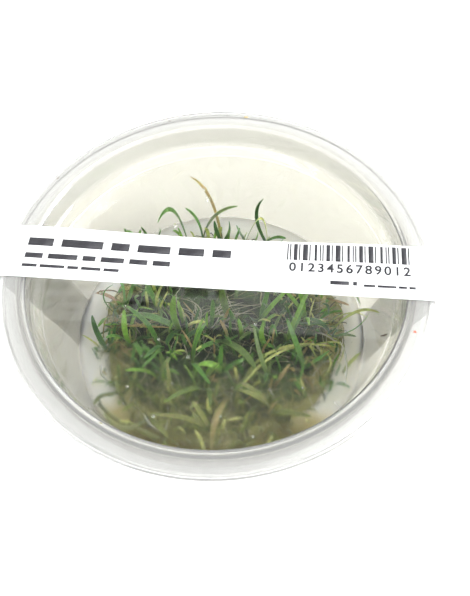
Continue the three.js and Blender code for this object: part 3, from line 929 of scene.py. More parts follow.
def lid_outline():
    """The lid from the middle of its sunk panel's underside, out to the skirt and back over the top."""
    top = LID_TOP
    return (
        (0, PANEL_TOP - SHEET),
        (PANEL_RADIUS, PANEL_TOP - SHEET),
        (PANEL_RADIUS + 0.5, PANEL_TOP - 0.3),
        (PLUG_RADIUS + 0.2, PANEL_TOP + 2.4),
        (PLUG_RADIUS + 0.55, PANEL_TOP + 3.5),
        (PLUG_RADIUS + 0.6, top - 1.05),
        (PLUG_RADIUS + 1.1, top - SHEET),
        (LID_RADIUS - 1, top - SHEET),
        (LID_RADIUS - 0.6, top - 1.1),
        (LID_RADIUS - 0.6, top - SKIRT),
        (LID_RADIUS, top - SKIRT),
        (LID_RADIUS, top - 0.8),
        (LID_RADIUS - 0.8, top),
        (PLUG_RADIUS + 0.7, top),
        (PLUG_RADIUS, top - 0.65),
        (PLUG_RADIUS - 0.05, PANEL_TOP + 3.7),
        (PLUG_RADIUS - 0.4, PANEL_TOP + 2.6),
        (PANEL_RADIUS, PANEL_TOP + 0.1),
        (PANEL_RADIUS - 0.4, PANEL_TOP),
        (0, PANEL_TOP),
    )


class CULTURE_OT_cup(bpy.types.Operator):
    """Builds the clear cup"""

    bl_idname = "culture.cup"
    bl_label = "Clear cup"

    def execute(self, context):
        settings = context.scene.culture_vessel
        outline = rounded(cup_outline(), settings.corner / MM)
        rim_from = WALL_TOP_RADIUS + 1
        clear = plastic_material("cup_polypropylene", settings, settings.cup, settings.milk, rim_from)
        own(finished("cup_shell", turned(outline), clear), "cup_plastic", "cup")
        return {"FINISHED"}


class CULTURE_OT_lid(bpy.types.Operator):
    """Builds the snap lid with its sunk panel, fogged on the underside"""

    bl_idname = "culture.lid"
    bl_label = "Snap lid"

    def execute(self, context):
        settings = context.scene.culture_vessel
        outline = rounded(lid_outline(), settings.corner / MM)
        rim_from = PANEL_RADIUS + 1
        clear = plastic_material("lid_polypropylene", settings, settings.lid, 0.0, rim_from, fogged=True)
        own(finished("lid_shell", turned(with_rings(outline)), clear), "lid_plastic", "lid")
        return {"FINISHED"}


def with_rings(outline, apart=3.0):
    """An outline with extra points on its long flat stretches, so that they keep flat when shaded smooth."""
    made = [outline[0]]
    for (r0, z0), (r1, z1) in zip(outline, outline[1:]):
        pieces = max(1, round(math.hypot(r1 - r0, z1 - z0) / apart))
        made += [(r0 + (r1 - r0) * k / pieces, z0 + (z1 - z0) * k / pieces) for k in range(1, pieces + 1)]
    return made


def band_sag(x, y, settings):
    """How far the band sags below the lid's top at a place."""
    reach = PANEL_RADIUS + 1
    if abs(x) >= reach:
        return 0
    towards_back = (y - BAND_FRONT) / (BAND_BACK - BAND_FRONT)
    deepest = (settings.front_sag + (settings.back_sag - settings.front_sag) * towards_back) / MM
    return deepest * (1 - (x / reach) ** 2) ** 2


def band_path():
    """The band's outer face from end to end: x, height, and whether it lies over the lid."""
    def wall_out(z):
        return wall_radius(z) + WALL + 0.05 + GAP

    half = (
        (LID_RADIUS - 0.6, BAND_TOP),
        (LID_RADIUS + 0.1 + BAND_THICKNESS, LID_TOP + 0.05 + BAND_THICKNESS),
        (LID_RADIUS + 0.4 + BAND_THICKNESS, LID_TOP - 0.6),
        (LID_RADIUS + 0.4 + BAND_THICKNESS, LID_TOP - SKIRT - 0.2),
        (wall_out(TAIL_STUCK_FROM) + BAND_THICKNESS, TAIL_STUCK_FROM),
        (wall_out(TAIL_END) + BAND_THICKNESS, TAIL_END),
    )
    outline = rounded(((0, BAND_TOP),) + half, 1.2, 5)
    right = with_rings(outline, 1.5)
    left = [(-x, z) for x, z in reversed(right[1:])]
    return left + right


def paper_material(settings):
    """Coated label stock: bright white, half matt, with the faint grain of its fibres."""
    made, tree = new_material("coated_label_paper")
    where = on_piece(tree)
    # Fibres are about 0.05 mm across, so the grain is drawn at 0.4 mm to show at all
    grain = cloudy(tree, where, 0.4, 3.0)
    cloud = cloudy(tree, where, 14, 2.0)
    both = calc(tree, "MULTIPLY", grain, cloud)
    shadow = tuple(c * 0.93 for c in settings.paper)
    colour = ramp(tree, both, ((0.05, shadow), (0.35, settings.paper)))
    relief = bump(tree, grain, 0.15, 0.02)
    return end_material(made, {
        "Base Color": colour,
        "Roughness": 0.45,
        "IOR": 1.5,
        "Subsurface Weight": 0.85,
        "Subsurface Radius": (1.0, 1.0, 1.0),
        "Subsurface Scale": MM,
        "Normal": relief,
    })


def ink_material(settings):
    """Offset ink on coated paper: near black, half matt, thinner in places."""
    made, tree = new_material("offset_ink")
    where = on_piece(tree)
    patches = cloudy(tree, where, 0.5, 2.0)
    thin = tuple(min(1, c * 2.2) for c in settings.ink)
    colour = ramp(tree, patches, ((0.35, settings.ink), (0.75, thin)))
    return end_material(made, {"Base Color": colour, "Roughness": 0.5})


def band_face(bm, depth, settings):
    """The outer face of the band as rows of points, or at a depth its inner face."""
    path = band_path()
    face = []
    for i, (x, z) in enumerate(path):
        before, after = Vector(path[max(0, i - 1)]), Vector(path[min(len(path) - 1, i + 1)])
        along = (after - before).normalized()
        off = Vector((-along.y, along.x)) * depth
        line = []
        for k in range(BAND_ROWS):
            y = BAND_FRONT + (BAND_BACK - BAND_FRONT) * k / (BAND_ROWS - 1)
            down = band_sag(x, y, settings)
            line.append(bm.verts.new(((x - off.x) * MM, y * MM, (z - off.y - down) * MM)))
        face.append(line)
    return face


class CULTURE_OT_band(bpy.types.Operator):
    """Builds the paper band, which sags between the lid's edges and folds down as a tail on both sides"""

    bl_idname = "culture.band"
    bl_label = "Paper band"

    def execute(self, context):
        settings = context.scene.culture_band
        bm = bmesh.new()
        top, under = [band_face(bm, depth, settings) for depth in (0, PAPER_THICKNESS)]
        last, end = BAND_ROWS - 1, len(top) - 1
        for i in range(end):
            for k in range(last):
                bm.faces.new((top[i][k], top[i + 1][k], top[i + 1][k + 1], top[i][k + 1]))
                bm.faces.new((under[i][k], under[i][k + 1], under[i + 1][k + 1], under[i + 1][k]))
            for k in (0, last):
                bm.faces.new((top[i][k], under[i][k], under[i + 1][k], top[i + 1][k]))
        for i in (0, end):
            for k in range(last):
                bm.faces.new((top[i][k], top[i][k + 1], under[i][k + 1], under[i][k]))
        own(finished("paper_band", bm, paper_material(settings)), "band_paper", "label_band")
        return {"FINISHED"}


# Print on the band: rows of plain word bars as left end, right end, front, back and typical length
PRINT_ROWS = (
    (-44.6, 3.2, 2.5, 4.7, 8.5),
    (-44.6, -10.6, -1.0, 0.4, 6.0),
    (-44.7, -21.3, -3.5, -2.7, 5.0),
    (26.2, 32.2, -3.5, -2.5, 6.0),
    (33.7, 45.2, -3.7, -3.1, 3.6),
)
WORDS = (0.7, 1.15, 0.5, 0.9)
WORD_SPACE = 0.9
BARS = {"left": 16.2, "right": 44.7, "front": 2.85, "back": 7.5, "modules": 95, "inked": 0.95}
BAR_STEPS = (1, 1, 1, 2, 3, 1, 1, 2, 4, 1, 1, 3, 2, 2)
DIGITS = "0123456789012"
DIGIT_ROW = {"left": 16.5, "right": 44.5, "front": -0.2, "size": 3.3, "weight": 0.07}
INK_THICKNESS = 0.03


def word_bars():
    """Centres and sizes of the plain bars that stand for rows of words."""
    bars = []
    for left, right, front, back, typical in PRINT_ROWS:
        x = left
        word = 0
        space = WORD_SPACE * (back - front)
        while x < right - space:
            wide = min(typical * WORDS[word % len(WORDS)], right - x)
            bars.append(((x + wide / 2, (front + back) / 2), (wide, back - front)))
            x += wide + space
            word += 1
    return bars


def bar_blocks():
    """Centres and sizes of the printed bars, whose widths follow a plain repeating pattern."""
    module = (BARS["right"] - BARS["left"]) / BARS["modules"]
    blocks = []
    at = 0
    step = 0
    while at < BARS["modules"]:
        wide = min(BAR_STEPS[step % len(BAR_STEPS)], BARS["modules"] - at)
        centre = (BARS["left"] + (at + wide / 2) * module, (BARS["front"] + BARS["back"]) / 2)
        blocks.append((centre, (wide * module * BARS["inked"], BARS["back"] - BARS["front"])))
        at += wide + BAR_STEPS[(step + 1) % len(BAR_STEPS)]
        step += 2
    return blocks


def mark_tree():
    """Geometry Nodes: a flat block of ink on each point, as large as the point's span."""
    tree, given = new_tree("ink_blocks", (("Thickness", "Float", INK_THICKNESS * MM),))
    points = socket(tree, "GeometryNodeMeshToPoints", {"Mesh": given["Geometry"]})
    block = socket(tree, "GeometryNodeMeshCube", {"Vertices X": 3, "Vertices Y": 4})
    span = named(tree, "span", "FLOAT_VECTOR")
    parts = split(tree, span)
    scale = socket(tree, "ShaderNodeCombineXYZ", {"X": parts["X"], "Y": parts["Y"], "Z": given["Thickness"]})
    ends = {"Points": points, "Instance": block, "Scale": scale}
    blocks = socket(tree, "GeometryNodeInstanceOnPoints", ends)
    return end_tree(tree, given, blocks)


def laid_on_band(piece, settings):
    """Lowers a printed piece with the sagging band."""
    for vertex in piece.data.vertices:
        vertex.co.z -= band_sag(vertex.co.x / MM, vertex.co.y / MM, settings) * MM
    piece.data.update()


class CULTURE_OT_print(bpy.types.Operator):
    """Prints plain word bars, code bars and a row of counting digits on the band"""

    bl_idname = "culture.print"
    bl_label = "Plain print"

    def execute(self, context):
        settings = context.scene.culture_band
        ink = ink_material(settings)
        face = BAND_TOP + INK_THICKNESS / 2
        for name, blocks in (("word_bars", word_bars()), ("printed_bars", bar_blocks())):
            points = bpy.data.meshes.new(name)
            points.from_pydata([(x * MM, y * MM, face * MM) for (x, y), _ in blocks], [], [])
            span = points.attributes.new("span", "FLOAT_VECTOR", "POINT")
            for spot, (_, (wide, deep)) in zip(span.data, blocks):
                spot.vector = (wide * MM, deep * MM, 0)
            piece = run_tree(name, points, mark_tree(), material=ink)
            laid_on_band(piece, settings)
            own(piece, "band_paper")
        digits = self.digit_row(face, ink)
        laid_on_band(digits, settings)
        own(digits, "band_paper")
        return {"FINISHED"}

    def digit_row(self, face, ink):
        """The counting digits as one closed mesh."""
        bm = bmesh.new()
        pitch = (DIGIT_ROW["right"] - DIGIT_ROW["left"]) / len(DIGITS)
        for i, digit in enumerate(DIGITS):
            letter = bpy.data.curves.new("digit", "FONT")
            letter.body = digit
            letter.size = DIGIT_ROW["size"] * MM
            letter.align_x = "CENTER"
            letter.extrude = INK_THICKNESS / 2 * MM
            letter.offset = DIGIT_ROW["weight"] * MM
            holder = new_object("digit", letter)
            graph = bpy.context.evaluated_depsgraph_get()
            shape = bpy.data.meshes.new_from_object(holder.evaluated_get(graph))
            x = DIGIT_ROW["left"] + pitch * (i + 0.5)
            shape.transform(Matrix.Translation((x * MM, DIGIT_ROW["front"] * MM, face * MM)))
            bm.from_mesh(shape)
            bpy.data.objects.remove(holder)
            bpy.data.meshes.remove(shape)
        bmesh.ops.remove_doubles(bm, verts=bm.verts, dist=0.0005 * MM)
        return finished("counting_digits", bm, ink, smooth=False)


def gel_material(settings):
    """Agar gel, poured and set: a soft wet cream body, cloudy all through and stained khaki in front."""
    made, tree = new_material("set_agar_gel")
    where = on_piece(tree)
    dimples = cloudy(tree, where, 4, 2.0)
    relief = bump(tree, dimples, 0.4, 0.2)
    rough = remap(tree, dimples, to_low=0.02, to_high=0.12)
    # Humus from the old leaves has stained the gel in front of the clump, with a cloudy edge
    parts = split(tree, where)
    cloud = cloudy(tree, where, 9, 4.0)
    aside = calc(tree, "MULTIPLY", parts["X"], parts["X"])
    curve = calc(tree, "MULTIPLY_ADD", aside, 9.0, parts["Y"])
    reach = calc(tree, "MULTIPLY_ADD", cloud, 14 * MM, curve)
    stain = remap(tree, reach, -6 * MM, -17 * MM)
    colour = ramp(tree, stain, (
        (0, linear("fdf8e9")),
        (0.5, linear("c9bf8e")),
        (1, linear("8a8350")),
    ))
    return end_material(made, {
        "Base Color": colour,
        "Roughness": rough,
        "IOR": 1.335,
        "Transmission Weight": settings.clear,
        "Subsurface Weight": 1.0,
        "Subsurface Radius": (1.0, 0.95, 0.8),
        "Subsurface Scale": 8 * MM,
        "Normal": relief,
    }, (solid(settings.agar), settings.density))


# The gel keeps this far off the plastic. Its surface swells by so much in waves of so many millimetres
GEL_GAP = 0.06
GEL_SWELL = 0.25
GEL_WAVE = 7


class CULTURE_OT_gel(bpy.types.Operator):
    """Pours the agar gel around the roots"""

    bl_idname = "culture.gel"
    bl_label = "Agar gel"

    def execute(self, context):
        settings = context.scene.culture_gel
        top, climb = settings.top / MM, settings.meniscus / MM
        edge = wall_radius(top + climb) - GEL_GAP
        outline = rounded((
            (0, FLOOR + GEL_GAP),
            (BASE_RADIUS - 1.9, FLOOR + GEL_GAP),
            (BASE_RADIUS - 0.9, FLOOR + GEL_GAP + 0.3),
            (wall_radius(2.4) - GEL_GAP, 2.4),
            (edge, top + climb),
            (edge - 0.7, top + 0.5),
            (edge - 2.2, top),
            (0, top),
        ), 0.5)
        bm = turned(with_rings(outline, 2.0))
        for vertex in bm.verts:
            x, y, z = vertex.co / MM
            if z > top - 0.1 and math.hypot(x, y) < edge - 1.5:
                vertex.co.z += GEL_SWELL * MM * noise.noise(Vector((x, y, 0)) / GEL_WAVE)
        own(finished("agar_gel", bm, gel_material(settings)), "agar", "culture_gel")
        return {"FINISHED"}


def mat_point(x, y, z, lumps):
    """A point of the mat's surface, swollen and sunk by smooth noise."""
    here = Vector((x, y, z))
    broad, narrow = MAT_LUMPS
    lump = noise.noise(here / broad) + 0.5 * noise.noise(here / narrow)
    out = Vector((x, y, 0)).normalized() if z < MAT_SHOULDER and math.hypot(x, y) > 1 else Vector((0, 0, 1))
    return here + out * lump * lumps


def humus_material(settings):
    """Old roots, humus and wet fibre grown into a felt: dark in the middle, from its humus and from the
    band's shadow painted on it, tan where it meets the gel.
    """
    made, tree = new_material("root_felt")
    where = on_piece(tree)
    parts = split(tree, where)
    patches = cloudy(tree, where, 5, 6.0)
    fibres = socket(tree, "ShaderNodeTexNoise", {
        "Vector": where,
        "Scale": 1 / (0.7 * MM),
        "Detail": 4.0,
        "Distortion": 2.0,
    })
    mix = calc(tree, "MULTIPLY", patches, fibres)
    dark = ramp(tree, mix, (
        (0.14, linear("12190b")),
        (0.24, linear("283917")),
        (0.34, linear("466129")),
        (0.46, linear("708447")),
    ))
    light = ramp(tree, mix, (
        (0.1, linear("5d6631")),
        (0.26, linear("9a9658")),
        (0.4, settings.fringe),
    ))
    radius = off_axis(tree, parts)
    stray = calc(tree, "MULTIPLY_ADD", patches, 8 * MM, radius)
    outer = remap(tree, stray, 29 * MM, 33 * MM)
    # Under the gel the felt thins out, so its sides are as pale as its fringe; this paleness is partly
    # painted light, standing in for the light that comes through the clear gel
    sunk = remap(tree, parts["Z"], 12.6 * MM, 11.4 * MM)
    pale = calc(tree, "MAXIMUM", outer, sunk)
    # Painted light: the front is painted paler, as it stands in the light that falls past the band, and its
    # old leaves are khaki
    front = remap(tree, parts["Y"], -13 * MM, -29 * MM, 0.0, 0.75)
    fringe_and_painted_light = calc(tree, "MAXIMUM", pale, front)
    colour = blended(tree, fringe_and_painted_light, dark, light)
    relief = bump(tree, fibres, 0.8, 0.4)
    return end_material(made, {
        "Base Color": colour,
        "Roughness": 0.7,
        "Normal": relief,
    })


def root_material(settings):
    """Living roots: smooth wet skin, whitish grey to straw, darker where they are old."""
    made, tree = new_material("wet_root_skin")
    age = add_node(tree, "ShaderNodeAttribute", attribute_name="age")
    where = on_piece(tree)
    stains = cloudy(tree, where, 2.5, 3.0)
    mix = calc(tree, "ADD", age.outputs["Fac"], stains)
    half = calc(tree, "MULTIPLY", mix, 0.5)
    colour = ramp(tree, half, (
        (0.28, settings.pale),
        (0.42, linear("8d875f")),
        (0.52, linear("6f7440")),
        (0.68, settings.dark),
    ))
    return end_material(made, {
        "Base Color": colour,
        "Roughness": 0.4,
        "Subsurface Weight": 0.15,
        "Subsurface Radius": (0.8, 0.6, 0.4),
        "Subsurface Scale": MM,
    })


def root_tree():
    """Geometry Nodes: roots that wander over the mat, laid back on its surface and tapered to their ends."""
    tree, given = new_tree("wandering_roots", (
        ("Density", "Float", 1.0),
        ("Seed", "Int", 1),
        ("Length", "Float", 14 * MM),
        ("Radius", "Float", 0.2 * MM),
        ("Wander", "Float", 4 * MM),
        ("Lift", "Float", 0.6 * MM),
    ))
    mat = given["Geometry"]
    spots = add_node(tree, "GeometryNodeDistributePointsOnFaces", {
        "Mesh": mat,
        "Density": given["Density"],
        "Seed": given["Seed"],
    })
    spin = chance(tree, 0.0, 2 * math.pi, given["Seed"])
    turn = socket(tree, "ShaderNodeCombineXYZ", {"Z": spin})
    facing = socket(tree, "FunctionNodeRotateRotation", {
        "Rotation": spots.outputs["Rotation"],
        "Rotate By": turn,
    }, rotation_space="LOCAL")
    line = socket(tree, "GeometryNodeCurvePrimitiveLine", {"Start": (-0.5, 0, 0), "End": (0.5, 0, 0)})
    fine = socket(tree, "GeometryNodeResampleCurve", {"Curve": line, "Count": 16})
    share_long = chance(tree, 0.45, 1.0, 8)
    long = calc(tree, "MULTIPLY", share_long, given["Length"])
    roots = socket(tree, "GeometryNodeInstanceOnPoints", {
        "Points": spots.outputs["Points"],
        "Instance": fine,
        "Rotation": facing,
        "Scale": long,
    })
    ages = chance(tree, 0.0, 1.0, 5)
    aged = stored(tree, roots, "age", ages, domain="INSTANCE")
    real = socket(tree, "GeometryNodeRealizeInstances", {"Geometry": aged})
    place = socket(tree, "GeometryNodeInputPosition")
    cloud = add_node(tree, "ShaderNodeTexNoise", {"Vector": place, "Scale": 1 / (9 * MM), "Detail": 2.0})
    ends = {0: cloud.outputs["Color"], 1: (0.5, 0.5, 0.5)}
    level = socket(tree, "ShaderNodeVectorMath", ends, operation="SUBTRACT")
    drift = scaled(tree, level, given["Wander"])
    strayed = socket(tree, "GeometryNodeSetPosition", {"Geometry": real, "Offset": drift})
    near = add_node(tree, "GeometryNodeProximity", {"Geometry": mat}, target_element="FACES")
    normal = socket(tree, "GeometryNodeInputNormal")
    face = socket(tree, "GeometryNodeSampleNearestSurface", {
        "Mesh": mat,
        "Value": normal,
    }, data_type="FLOAT_VECTOR")
    age = named(tree, "age", "FLOAT")
    factor = add_node(tree, "GeometryNodeSplineParameter")
    arch = calc(tree, "MULTIPLY", factor.outputs["Factor"], math.pi)
    bow = calc(tree, "SINE", arch)
    rise = calc(tree, "MULTIPLY", bow, age)
    height = calc(tree, "MULTIPLY", rise, given["Lift"])
    out = scaled(tree, face, height)
    landed = socket(tree, "GeometryNodeSetPosition", {
        "Geometry": strayed,
        "Position": near.outputs["Position"],
        "Offset": out,
    })
    taper = remap(tree, bow, to_low=0.35, to_high=1.0)
    thick = calc(tree, "MULTIPLY", taper, given["Radius"])
    ring = socket(tree, "GeometryNodeCurvePrimitiveCircle", {"Resolution": 5, "Radius": 1.0})
    tubes = socket(tree, "GeometryNodeCurveToMesh", {
        "Curve": landed,
        "Profile Curve": ring,
        "Scale": thick,
        "Fill Caps": True,
    })
    return end_tree(tree, given, tubes)


class CULTURE_OT_roots(bpy.types.Operator):
    """Builds the root mat and the roots that wander over it"""

    bl_idname = "culture.roots"
    bl_label = "Roots"

    def execute(self, context):
        settings = context.scene.culture_roots
        bm = turned(with_rings(rounded(MAT_OUTLINE, 1.5), 1.0), 180)
        for vertex in bm.verts:
            x, y, z = vertex.co / MM
            swell = mat_swell(math.atan2(y, x))
            vertex.co = mat_point(x * swell, y * swell, z, settings.lumps / MM) * MM
        felt = finished("root_felt", bm, humus_material(settings))
        skin = root_material(settings)
        fine = run_tree(
            "fine_roots", felt.data.copy(), root_tree(), density=settings.density, seed=3,
            length=11 * MM, radius=settings.strand * 0.6, wander=6 * MM, lift=0.8 * MM, material=skin,
        )
        stout = run_tree(
            "stout_roots", felt.data.copy(), root_tree(), density=settings.density * 0.25, seed=11,
            length=16 * MM, radius=settings.strand * 1.2, wander=9 * MM, lift=1.6 * MM, material=skin,
        )
        own(felt, "roots", "root_mat")
        own(fine, "roots")
        own(stout, "roots")
        return {"FINISHED"}


def blade_tree():
    """Geometry Nodes: a strap blade along each line, folded up at its edges."""
    tree, given = new_tree("strap_blades", (("Thickness", "Float", 0.17), ("Fold", "Float", 0.2)))
    lines = socket(tree, "GeometryNodeMeshToCurve", {"Mesh": given["Geometry"]})
    across = named(tree, "across", "FLOAT_VECTOR")
    turned_lines = socket(tree, "GeometryNodeSetCurveNormal", {"Curve": lines, "Normal": across}, mode="FREE")
    factor = add_node(tree, "GeometryNodeSplineParameter")
    marked = stored(tree, turned_lines, "along", factor.outputs["Factor"])
    ring = socket(tree, "GeometryNodeCurvePrimitiveCircle", {"Resolution": 8, "Radius": 1.0})
    place = socket(tree, "GeometryNodeInputPosition")
    parts = split(tree, place)
    crosswise = stored(tree, ring, "crosswise", parts["X"])
    flat = calc(tree, "MULTIPLY", parts["Y"], given["Thickness"])
    square = calc(tree, "POWER", parts["X"], 2.0)
    lifted = calc(tree, "MULTIPLY", square, given["Fold"])
    height = calc(tree, "ADD", flat, lifted)
    section = socket(tree, "ShaderNodeCombineXYZ", {"X": parts["X"], "Y": height})
    shaped = socket(tree, "GeometryNodeSetPosition", {"Geometry": crosswise, "Position": section})
    half = named(tree, "half", "FLOAT")
    blades = socket(tree, "GeometryNodeCurveToMesh", {
        "Curve": marked,
        "Profile Curve": shaped,
        "Scale": half,
        "Fill Caps": True,
    })
    return end_tree(tree, given, blades)


def leaf_material():
    """Living strap leaves: a thin waxy skin, wet from the closed air, that lets light through. Painted shade
    darkens each blade towards its foot, and painted light makes its edges paler.
    """
    made, tree = new_material("wet_leaf_cuticle")
    where = on_piece(tree)
    own_tint = add_node(tree, "ShaderNodeAttribute", attribute_name="tint")
    along = add_node(tree, "ShaderNodeAttribute", attribute_name="along")
    crosswise = add_node(tree, "ShaderNodeAttribute", attribute_name="crosswise")
    # Cells and nerves mottle the green in patches of about 0.8 mm
    patches = cloudy(tree, where, 0.8, 3.0)
    shade = remap(tree, patches, 0.3, 0.7, 0.72, 1.25)
    mottled = scaled(tree, own_tint.outputs["Color"], shade)
    # Painted shade: each blade is painted darker towards its foot, down in the clump where little light
    # reaches
    painted_foot_shade = remap(tree, along.outputs["Fac"], 0.0, 0.45, 0.7, 0.0)
    foot = blended(tree, painted_foot_shade, mottled, solid(linear("2c3f1c")))
    # Painted light: the blade's edges are painted paler, as if light shone through them
    edge = calc(tree, "POWER", crosswise.outputs["Fac"], 4.0)
    rim = calc(tree, "MULTIPLY", edge, 0.35)
    colour = blended(tree, rim, foot, solid(linear("a4c766")))
    relief = bump(tree, patches, 0.4, 0.1)
    return end_material(made, {
        "Base Color": colour,
        "Roughness": 0.36,
        "Subsurface Weight": 0.35,
        "Subsurface Radius": (0.5, 1.0, 0.25),
        "Subsurface Scale": 0.6 * MM,
        "Normal": relief,
    })


def dust_material():
    """Settled dust: dull crumbs and fibres, each a little uneven in tone."""
    made, tree = new_material("settled_dust")
    where = on_piece(tree)
    own_tint = add_node(tree, "ShaderNodeAttribute", attribute_name="tint")
    grain = cloudy(tree, where, 0.3)
    shade = remap(tree, grain, to_low=0.7, to_high=1.3)
    colour = scaled(tree, own_tint.outputs["Color"], shade)
    return end_material(made, {"Base Color": colour, "Roughness": 0.95})


# How blades grow: shares of the length or the width, turns in radians, and lengths in millimetres
BLADE = {
    "straight": 0.9,
    "twist": 0.7,
    "swing": 0.25,
    "ripple": 5,
    "tone": (0.85, 0.3),
    "finest": 0.04,
    "old_from": -14,
    "old_over": 10,
    "old_share": 0.8,
    "shrunk": 0.75,
}
# Along a blade: how many even steps, then places up to the tip
LEAF_STEPS = (14, (0.94, 0.97, 0.99, 1.0))
STREAK_STEPS = (8, (0.94, 0.97, 0.99, 1.0))
THREAD_STEPS = (10, (0.95, 1.0))
SHORT_STEPS = (6, (0.95, 1.0))
THREAD_SHAPE = (0.6, 0.0)
SPECK_SHAPE = (0.4, 0.0)
STREAK_SHAPE = (0.3, 0.0)
PLANT_SEED = 77
STREAK_SEED = 5


def blade_lines(name, leaves, settings, draw, steps, tip_steps):
    """The middle lines of leaves as edges, which keep each point's half width, flat direction and tint."""
    points, edges, halves, sides, tints = [], [], [], [], []
    stations = [BLADE["straight"] * k / steps for k in range(steps + 1)] + list(tip_steps)
    for leaf in leaves:
        heading = math.atan2(leaf["tip"][1] - leaf["foot"][1], leaf["tip"][0] - leaf["foot"][0])
        level = Vector((-math.sin(heading), math.cos(heading), 0))
        twist = BLADE["twist"] * (next(draw) - 0.5)
        wave = 2 * math.pi * next(draw)
        swing = BLADE["swing"] * next(draw)
        # The older leaves stand at the front, where only the yellow ones keep their colour
        front = max(0, min(1, (BLADE["old_from"] - leaf["foot"][1]) / BLADE["old_over"]))
        old = 0 if leaf["tone"] == "lime" else BLADE["old_share"] * front
        tone = Vector(getattr(settings, leaf["tone"])).lerp(Vector(settings.khaki), old)
        rgb = tone * some(draw, *BLADE["tone"])
        first = len(points)
        for t in stations:
            here = leaf_point(leaf, t)
            along = (leaf_point(leaf, t + 0.01) - here).normalized()
            side = level * math.cos(twist * t) + level.cross(along) * math.sin(twist * t)
            here = here + level * swing * math.sin(wave + BLADE["ripple"] * t) * t * (1 - t) * 2
            points.append(here * MM)
            halves.append(max(BLADE["finest"], strap_half(leaf, t)) * MM)
            sides.append(side)
            tints.append(solid(rgb))
        edges += [(i, i + 1) for i in range(first, len(points) - 1)]
    mesh = bpy.data.meshes.new(name)
    mesh.from_pydata(points, edges, [])
    for label, kind, field, values in (
        ("half", "FLOAT", "value", halves),
        ("across", "FLOAT_VECTOR", "vector", sides),
        ("tint", "FLOAT_COLOR", "color", tints),
    ):
        for spot, value in zip(mesh.attributes.new(label, kind, "POINT").data, values):
            setattr(spot, field, value)
    return mesh


def grow_blades(name, leaves, settings, draw, stations, shape, material):
    """Blades along leaves as one piece. The shape is a blade's thickness and how far its edges curl."""
    lines = blade_lines(name, leaves, settings, draw, *stations)
    thickness, fold = shape
    return run_tree(name, lines, blade_tree(), thickness=thickness, fold=fold, material=material)


class CULTURE_OT_plantlets(bpy.types.Operator):
    """Grows the plantlets, one leaf blade for each leaf of the frame's plantlets"""

    bl_idname = "culture.plantlets"
    bl_label = "Plantlets"

    def execute(self, context):
        settings = context.scene.culture_plants
        plantlets = grow_plantlets()
        names = sorted(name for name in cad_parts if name.startswith("plantlet_"))
        if len(names) != len(plantlets):
            raise RuntimeError(f"{len(plantlets)} plantlets grew for {len(names)} nodes")
        draw = draws(PLANT_SEED)
        skin = leaf_material()
        strap = (settings.thickness, settings.fold)
        for name, first, last in (("drawn_blades", 0, len(SEEN)), ("crowd_blades", len(SEEN), len(names))):
            leaves = [leaf for plantlet in plantlets[first:last] for leaf in plantlet]
            for leaf in leaves:
                # Yellowed and withered leaves have shrunk
                if leaf["tone"] in ("lime", "tan"):
                    leaf["width"] *= BLADE["shrunk"]
            blades = grow_blades(name, leaves, settings, draw, LEAF_STEPS, strap, skin)
            own(blades, "leaves", *names[first:last])
        short = drawn(SPRIGS) + undergrowth(draw)
        own(grow_blades("undergrowth", short, settings, draw, SHORT_STEPS, strap, skin), "leaves")
        loose = loose_threads(draw)
        own(grow_blades("loose_threads", loose, settings, draw, THREAD_STEPS, THREAD_SHAPE, skin), "roots")
        dust = dust_material()
        specks = grow_blades("lid_specks", drawn(SPECKS), settings, draw, SHORT_STEPS, SPECK_SHAPE, dust)
        own(specks, "lid_plastic")
        return {"FINISHED"}


def loose_threads(draw):
    """Runners, stems and loose roots: the drawn ones, a fan of roots over the bare patch, and litter."""
    threads = drawn(THREADS)
    start = Vector(FAN["from"])
    for i in range(FAN["roots"]):
        foot = start + Vector((FAN["spread"] * next(draw), 0, 0))
        swing = (i + next(draw)) / FAN["roots"]
        x = FAN["left"] + (FAN["right"] - FAN["left"]) * swing
        tip = Vector((x, FAN["back"] * some(draw, *FAN["reach"]), FAN["end"]))
        sway = [most * (next(draw) - 0.5) for most in FAN["sway"]]
        rise = Vector((*sway, some(draw, *FAN["rise"])))
        threads += drawn([(foot, (foot + tip) / 2 + rise, tip, some(draw, *FAN["width"]), "root")])
    for count, near, far, tones in LITTER:
        for _ in range(count):
            x = near[0] + (far[0] - near[0]) * next(draw)
            y = near[1] + (far[1] - near[1]) * next(draw)
            turn = 2 * math.pi * next(draw)
            long = some(draw, *SCRAP["length"])
            level = max(GEL_TOP, mat_top(x, y))
            middle = Vector((x, y, some(draw, level + SCRAP["lift"], SCRAP["heap"])))
            out = Vector((math.cos(turn), math.sin(turn), 0)) * long
            bow = Vector((-out.y, out.x, 0)) * (next(draw) - 0.5)
            width = some(draw, *SCRAP["width"])
            tone = tones[int(len(tones) * next(draw))]
            if math.hypot(x, y) < SCRAP["reach"] - long:
                threads += drawn([(middle - out, middle + bow, middle + out, width, tone)])
    return threads


